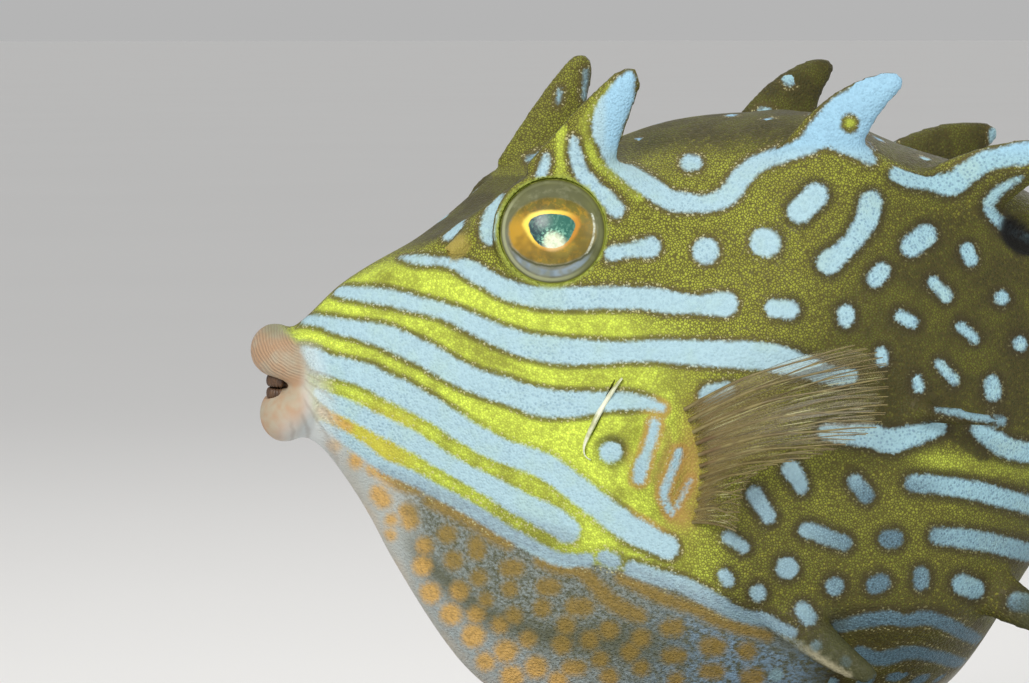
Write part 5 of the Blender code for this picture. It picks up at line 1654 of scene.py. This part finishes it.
def makeSheet(name, point, count, material):
    # The thin skin between the rays: thickest at the root, a little short between the ray tips
    across, out = (count - 1) * 8 + 1, 44
    rows = []
    for k in range(out):
        row = []
        for c in range(across):
            u = c / (across - 1)
            between = math.sin(math.pi * (u * (count - 1) % 1))
            row.append(point(u, k / (out - 1) * (0.985 - 0.035 * between)))
        rows.append(row)
    bm = bmesh.new()
    faces = []
    for face in (1, -1):
        sheet = []
        for k, row in enumerate(rows):
            line = []
            for c, p in enumerate(row):
                beside = row[min(c + 1, across - 1)] - row[max(c - 1, 0)]
                ahead = rows[min(k + 1, out - 1)][c] - rows[max(k - 1, 0)][c]
                thick = fins["sheet"] * (1.9 - 1.1 * k / (out - 1))
                line.append(bm.verts.new(p + ahead.cross(beside).normalized() * face * thick / 2 * mm))
            sheet.append(line)
        faces.append(sheet)
    front, back = faces
    for k in range(out - 1):
        for c in range(across - 1):
            bm.faces.new((front[k][c], front[k][c + 1], front[k + 1][c + 1], front[k + 1][c]))
            bm.faces.new((back[k][c], back[k + 1][c], back[k + 1][c + 1], back[k][c + 1]))
    rim = [(0, c) for c in range(across)] + [(k, across - 1) for k in range(1, out)]
    rim += [(out - 1, c) for c in range(across - 2, -1, -1)] + [(k, 0) for k in range(out - 2, 0, -1)]
    for (k, c), (m, d) in zip(rim, rim[1:] + rim[:1]):
        bm.faces.new((front[k][c], back[k][c], back[m][d], front[m][d]))
    mesh = toMesh(name, bm)
    order = [(k, c) for _ in range(2) for k in range(out) for c in range(across)]
    setAttribute(mesh, "outwards", [k / (out - 1) for k, c in order])
    setAttribute(mesh, "between", [math.sin(math.pi * (c / 8 % 1)) for k, c in order])
    setAttribute(mesh, "rayPlace", [c / 8 for k, c in order])
    mesh.shade_smooth()
    sheet = link(name, mesh)
    mesh.materials.append(material)
    return sheet


def rayMaterial(name, root, end):
    s = Shader(name)
    streak = s.noise(500, 3)
    colour = s.mix(s.ramp(streak, 0.35, 0.7), root, end)
    colour = s.mix(s.ramp(s.noise(140, 1), 0.6, 0.68, 0, 0.5), colour, finLooks["rayBlotch"])
    return s.finish(colour, s.ramp(streak, 0.2, 0.8, 0.35, 0.5), s.bump(s.noise(2600, 1), 0.00003, 0.6))


def sheetMaterial(name, colours, clear):
    # Thick and dull at the root, clear further out, with fine streaks that follow the rays, some of them
    # painted highlights
    s = Shader(name)
    outwards, between = s.field("outwards"), s.field("between")
    line = s.node("ShaderNodeCombineXYZ")
    s.wire(s.times(s.field("rayPlace"), 9), line.inputs[0])
    s.wire(s.times(outwards, 2.2), line.inputs[1])
    streak = s.noise(1, 4, 0.5, line.outputs[0])
    colour = s.mix(outwards, colours[0], colours[1])
    colour = s.mix(s.ramp(streak, 0.5, 0.64), colour, colours[2])
    # Painted highlight streaks, a little less clear than the sheet round them
    gleam = s.ramp(streak, 0.44, 0.34)
    colour = s.mix(s.times(gleam, 0.85), colour, finLooks["gleam"])
    alpha = s.ramp(outwards, 0, 0.75, clear[0], clear[1])
    alpha = s.times(alpha, s.ramp(outwards, 0, 0.1, 0.35, 1))
    alpha = s.plus(alpha, s.ramp(streak, 0.44, 0.62, -0.14, 0.24))
    alpha = s.plus(alpha, s.times(gleam, s.ramp(outwards, 0.1, 0.5, 0, 0.34)))
    alpha = s.minus(alpha, s.times(between, 0.06))
    s.wire(s.ramp(alpha, 0, 1), s.bsdf.inputs["Alpha"])
    return s.finish(colour, 0.34, s.bump(streak, 0.00012, 0.6))


def makeTeeth():
    # Two arches of small blunt teeth, and the dark floor of the mouth behind them
    bm = bmesh.new()
    arch, (long, wide, high) = mouth["toothArch"], mouth["tooth"]
    for level, lean in zip(arch["levels"], (mouth["toothLean"], -mouth["toothLean"])):
        for k in range(mouth["toothCount"]):
            turn = math.radians(arch["turn"] * (2 * k / (mouth["toothCount"] - 1) - 1))
            station = arch["station"] - arch["depth"] * math.cos(turn)
            addBall(bm, place(station, arch["reach"] * math.sin(turn), level),
                    [(long, 0, lean), (0, wide, 0), (0, 0, high)], 12, 8)
    middle, size = mouth["floor"]
    addBall(bm, place(*middle), Matrix.Diagonal(size), 24, 14)
    mesh = toMesh("teeth_piece", bm)
    mesh.shade_smooth()
    return link("teeth_piece", mesh)


def toothMaterial():
    s = Shader("tooth")
    colour = s.mix(s.ramp(s.noise(500), 0.35, 0.65), mouth["toothDark"], mouth["toothLight"])
    return s.finish(colour, 0.5, s.bump(s.noise(900), 0.00005, 0.5))


def gillFlap(side):
    # The thin pale edge of the gill opening, hooked at its lower end
    narrow, more = gill["edgeWidth"]
    samples = resample(gill["edge"], 2)
    points = []
    for px, py in samples:
        start, sight = pictureRay(px, py)
        points.append(tree.ray_cast(start, sight)[0])
    points = [Vector((p.x, -p.y * side, p.z)) for p in points]
    for _ in range(6):
        points[1:-1] = [(a + b * 2 + c) / 4 for a, b, c in zip(points, points[1:], points[2:])]
    rings = []
    count = len(points)
    for k, p in enumerate(points):
        t = k / (count - 1)
        heading = (points[min(k + 1, count - 1)] - points[max(k - 1, 0)]).normalized()
        outward = (Vector((0, side, 0)) - heading * heading.y * side).normalized()
        across = heading.cross(outward)
        wide = (narrow + more * math.sin(math.pi * min(t * 1.18, 1)) ** 0.7) * mm
        rings.append([p + outward * gill["edgeLift"] * mm * (0.2 + math.sin(math.pi * min(t * 1.1, 1)))
                      + across * wide * math.cos(a) + outward * gill["edgeHeight"] * mm * math.sin(a)
                      for a in fullTurn(14)])
    bm = bmesh.new()
    closedTube(bm, rings)
    mesh = toMesh("gill_edge", bm)
    mesh.shade_smooth()
    return link("gill_edge_left" if side < 0 else "gill_edge_right", mesh)


def gillMaterial():
    s = Shader("gillEdge")
    colour = s.mix(s.ramp(s.noise(400), 0.4, 0.62), gill["edgePale"], gill["edgeDark"])
    return s.finish(colour, 0.36, s.bump(s.noise(1200), 0.00004, 0.5))


stand = {
    "base": (92, 62, 6),
    "baseStation": 66,
    "corner": 14,
    "edge": 1.2,
    "rodRadius": 2.2,
    "rodStations": (47, 82),
    "collar": (3.6, 1.6),       # radius and height
    "collarSoftness": (0.12, 0.4),
    "sink": 0.4,                # of a rod's foot in the base
    "rise": 3,                # of a rod's head into the fish
    "dark": (0.012, 0.012, 0.014),
    "light": (0.028, 0.028, 0.031),
}


def makeBase():
    length, width, thick = stand["base"]
    bm = bmesh.new()
    middle = Vector(((stand["baseStation"] - fish["length"] / 2) * mm, 0, thick / 2 * mm))
    bmesh.ops.create_cube(bm, size=1)
    size = Matrix.Diagonal((length * mm, width * mm, thick * mm, 1))
    bmesh.ops.transform(bm, matrix=size, verts=bm.verts)
    upright = [e for e in bm.edges if abs(e.verts[0].co.z - e.verts[1].co.z) > thick * mm / 2]
    bmesh.ops.bevel(bm, geom=upright, offset=stand["corner"] * mm, segments=24, profile=0.5, affect="EDGES")
    rims = [e for e in bm.edges if all(v.co.z > 0 for v in e.verts)]
    bmesh.ops.bevel(bm, geom=rims, offset=stand["edge"] * mm, segments=6, profile=0.5, affect="EDGES")
    bmesh.ops.translate(bm, verts=bm.verts, vec=middle)
    mesh = toMesh("base_piece", bm)
    for polygon in mesh.polygons:
        polygon.use_smooth = abs(polygon.normal.z) < 0.98
    return link("base_piece", mesh)


def makeRod(name, station):
    # A round rod with a small collar on the base
    foot = stand["base"][2] - stand["sink"]
    head = along(carapace["keel"], station) + fish["mouthHeight"] + stand["rise"]
    radius, (collar, collarHeight), (near, far) = stand["rodRadius"], stand["collar"], stand["collarSoftness"]
    top = foot + collarHeight + stand["sink"]
    profile = [(0, foot), (collar, foot), (collar, top - far), (collar - near, top - near),
               (collar - far, top), (radius, top), (radius, head), (0, head)]
    bm = bmesh.new()
    turns = fullTurn(48)
    x = (station - fish["length"] / 2) * mm
    rows = []
    for r, z in profile:
        if r == 0:
            rows.append([bm.verts.new((x, 0, z * mm))])
        else:
            ring = [(x + r * mm * math.cos(t), r * mm * math.sin(t), z * mm) for t in turns]
            rows.append([bm.verts.new(p) for p in ring])
    bridge(bm, rows)
    mesh = toMesh(name, bm)
    for polygon in mesh.polygons:
        polygon.use_smooth = abs(polygon.normal.z) < 0.9
    mesh.set_sharp_from_angle(angle=math.radians(35))
    return link(name, mesh)


def standMaterial():
    s = Shader("standPaint")
    broad, fine = s.noise(90, 4), s.noise(2400, 2)
    colour = s.mix(s.ramp(broad, 0.35, 0.7), stand["dark"], stand["light"])
    return s.finish(colour, s.ramp(broad, 0.3, 0.7, 0.34, 0.46), s.bump(fine, 0.00004, 0.5))


studio = {
    "floorSize": 60,
    "floor": (0.8, 0.795, 0.785),
    "floorMottle": (0.77, 0.765, 0.755),
    "world": (0.92, 0.92, 0.92),
    "worldStrength": 0.66,
    "horizonShare": 0.76,    # the sky's strength at the level of the eye, as a share of that overhead
    "fullAbove": 0.35,       # the height in the sky from which it is at full strength
    "lampSpread": 115,
    "aim": (-0.02, 0, 0.07),
    # name: place, watts, size and colour
    "lamps": {
        "key": ((-0.42, -0.72, 0.5), 2.5, 0.3, (1, 0.97, 0.92)),
        "fill": ((0.65, -0.55, 0.3), 0.45, 0.5, (0.93, 0.97, 1)),
        "top": ((0, 0.25, 0.75), 0.5, 0.5, (1, 1, 1)),
        "rear": ((0.45, 0.65, 0.45), 0.35, 0.5, (1, 0.98, 0.95)),
    },
}


def makeStudio():
    bm = bmesh.new()
    bmesh.ops.create_grid(bm, x_segments=1, y_segments=1, size=studio["floorSize"] / 2)
    mesh = bpy.data.meshes.new("floor")
    bm.to_mesh(mesh)
    bm.free()
    floor = link("floor", mesh)
    s = Shader("floor")
    tone = s.mix(s.ramp(s.noise(3), 0.3, 0.7, 0, 0.3), studio["floor"], studio["floorMottle"])
    mesh.materials.append(s.finish(tone, 0.75, Specular_IOR_Level=0.2))
    world = bpy.data.worlds.new("studio")
    world.use_nodes = True
    sky = world.node_tree.nodes["Background"]
    sky.inputs["Color"].default_value = (*studio["world"], 1)
    nodes, wire = world.node_tree.nodes, world.node_tree.links.new
    where, split, rise = (nodes.new(kind) for kind in
                          ("ShaderNodeTexCoord", "ShaderNodeSeparateXYZ", "ShaderNodeMapRange"))
    rise.inputs["From Max"].default_value = studio["fullAbove"]
    rise.inputs["To Min"].default_value = studio["worldStrength"] * studio["horizonShare"]
    rise.inputs["To Max"].default_value = studio["worldStrength"]
    wire(where.outputs["Generated"], split.inputs[0])
    wire(split.outputs["Z"], rise.inputs["Value"])
    wire(rise.outputs["Result"], sky.inputs["Strength"])
    bpy.context.scene.world = world
    for name, (spot, watts, size, colour) in studio["lamps"].items():
        data = bpy.data.lights.new(name, "AREA")
        data.energy, data.size, data.color = watts, size, colour
        data.shape = "DISK"
        data.spread = math.radians(studio["lampSpread"])
        lamp = bpy.data.objects.new(name, data)
        lamp.location = spot
        aim = Vector(studio["aim"]) - Vector(spot)
        lamp.rotation_euler = aim.to_track_quat("-Z", "Y").to_euler()
        bpy.context.scene.collection.objects.link(lamp)


def finishPiece(piece, nodes, material=None):
    if material is not None:
        piece.data.materials.clear()
        piece.data.materials.append(material)
    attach(piece, "root")
    if nodes:
        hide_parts(*nodes)


makeCamera()
makeStudio()
bpy.context.scene.view_settings.view_transform = "Standard"
print("studio set")

skin = sculptSkin()
softenJoints(skin.data)
tree = BVHTree.FromPolygons([tuple(p) for p in coordinates(skin.data)],
                            [tuple(p.vertices) for p in skin.data.polygons])
horns = splitHorns(skin)
skinCover = skinMaterial()
for piece in (skin, *horns):
    paintAttributes(piece.data, tree)
    piece.data.shade_smooth()
    piece.data.set_sharp_from_angle(angle=math.radians(fish["smoothAngle"]))
finishPiece(skin, ["head", "torso", "tail", "lip_upper", "lip_lower"], skinCover)
for piece, hand in zip(horns, ("left", "right")):
    finishPiece(piece, ["horn_" + hand], skinCover)
print("skin shaped and marked:", len(skin.data.vertices), "points")

eyeCover = eyeMaterial()
for side, hand in ((-1, "left"), (1, "right")):
    finishPiece(latheEye("eye_piece_" + hand, side), ["eye_" + hand], eyeCover)
print("eyes made")

finCovers = {key: (rayMaterial(key + "Ray", *finLooks[key]["rays"]),
                   sheetMaterial(key + "Sheet", finLooks[key]["sheet"], finLooks[key]["clear"]))
             for key in ("pectoral", "median")}
trees = {key: rayTree(covers[0]) for key, covers in finCovers.items()}
finList = [("pectoral_left", "pectoral_fin_left", "pectoral", pectoralPoint(-1)),
           ("pectoral_right", "pectoral_fin_right", "pectoral", pectoralPoint(1)),
           ("dorsal", "dorsal_fin", "dorsal", medianPoint("dorsal")),
           ("anal", "anal_fin", "anal", medianPoint("anal")),
           ("caudal", "caudal_fin", "caudal", caudalPoint)]
for name, node, key, point in finList:
    kind = key if key in finCovers else "median"
    count = fins[key]["rays"]
    rays = makeRays(name + "_rays", point, count, *trees[kind], fins[key]["girth"])
    finishPiece(rays, [node])
    finishPiece(makeSheet(name + "_sheet", point, count, finCovers[kind][1]), [node])
print("fins made")

finishPiece(makeTeeth(), ["teeth"], toothMaterial())
gillCover = gillMaterial()
for side in (-1, 1):
    finishPiece(gillFlap(side), [], gillCover)
print("teeth and gill edges made")

standCover = standMaterial()
finishPiece(makeBase(), ["stand_base"], standCover)
for name, station in zip(("front", "rear"), stand["rodStations"]):
    finishPiece(makeRod("rod_piece_" + name, station), ["stand_rod_" + name], standCover)
print("stand made")
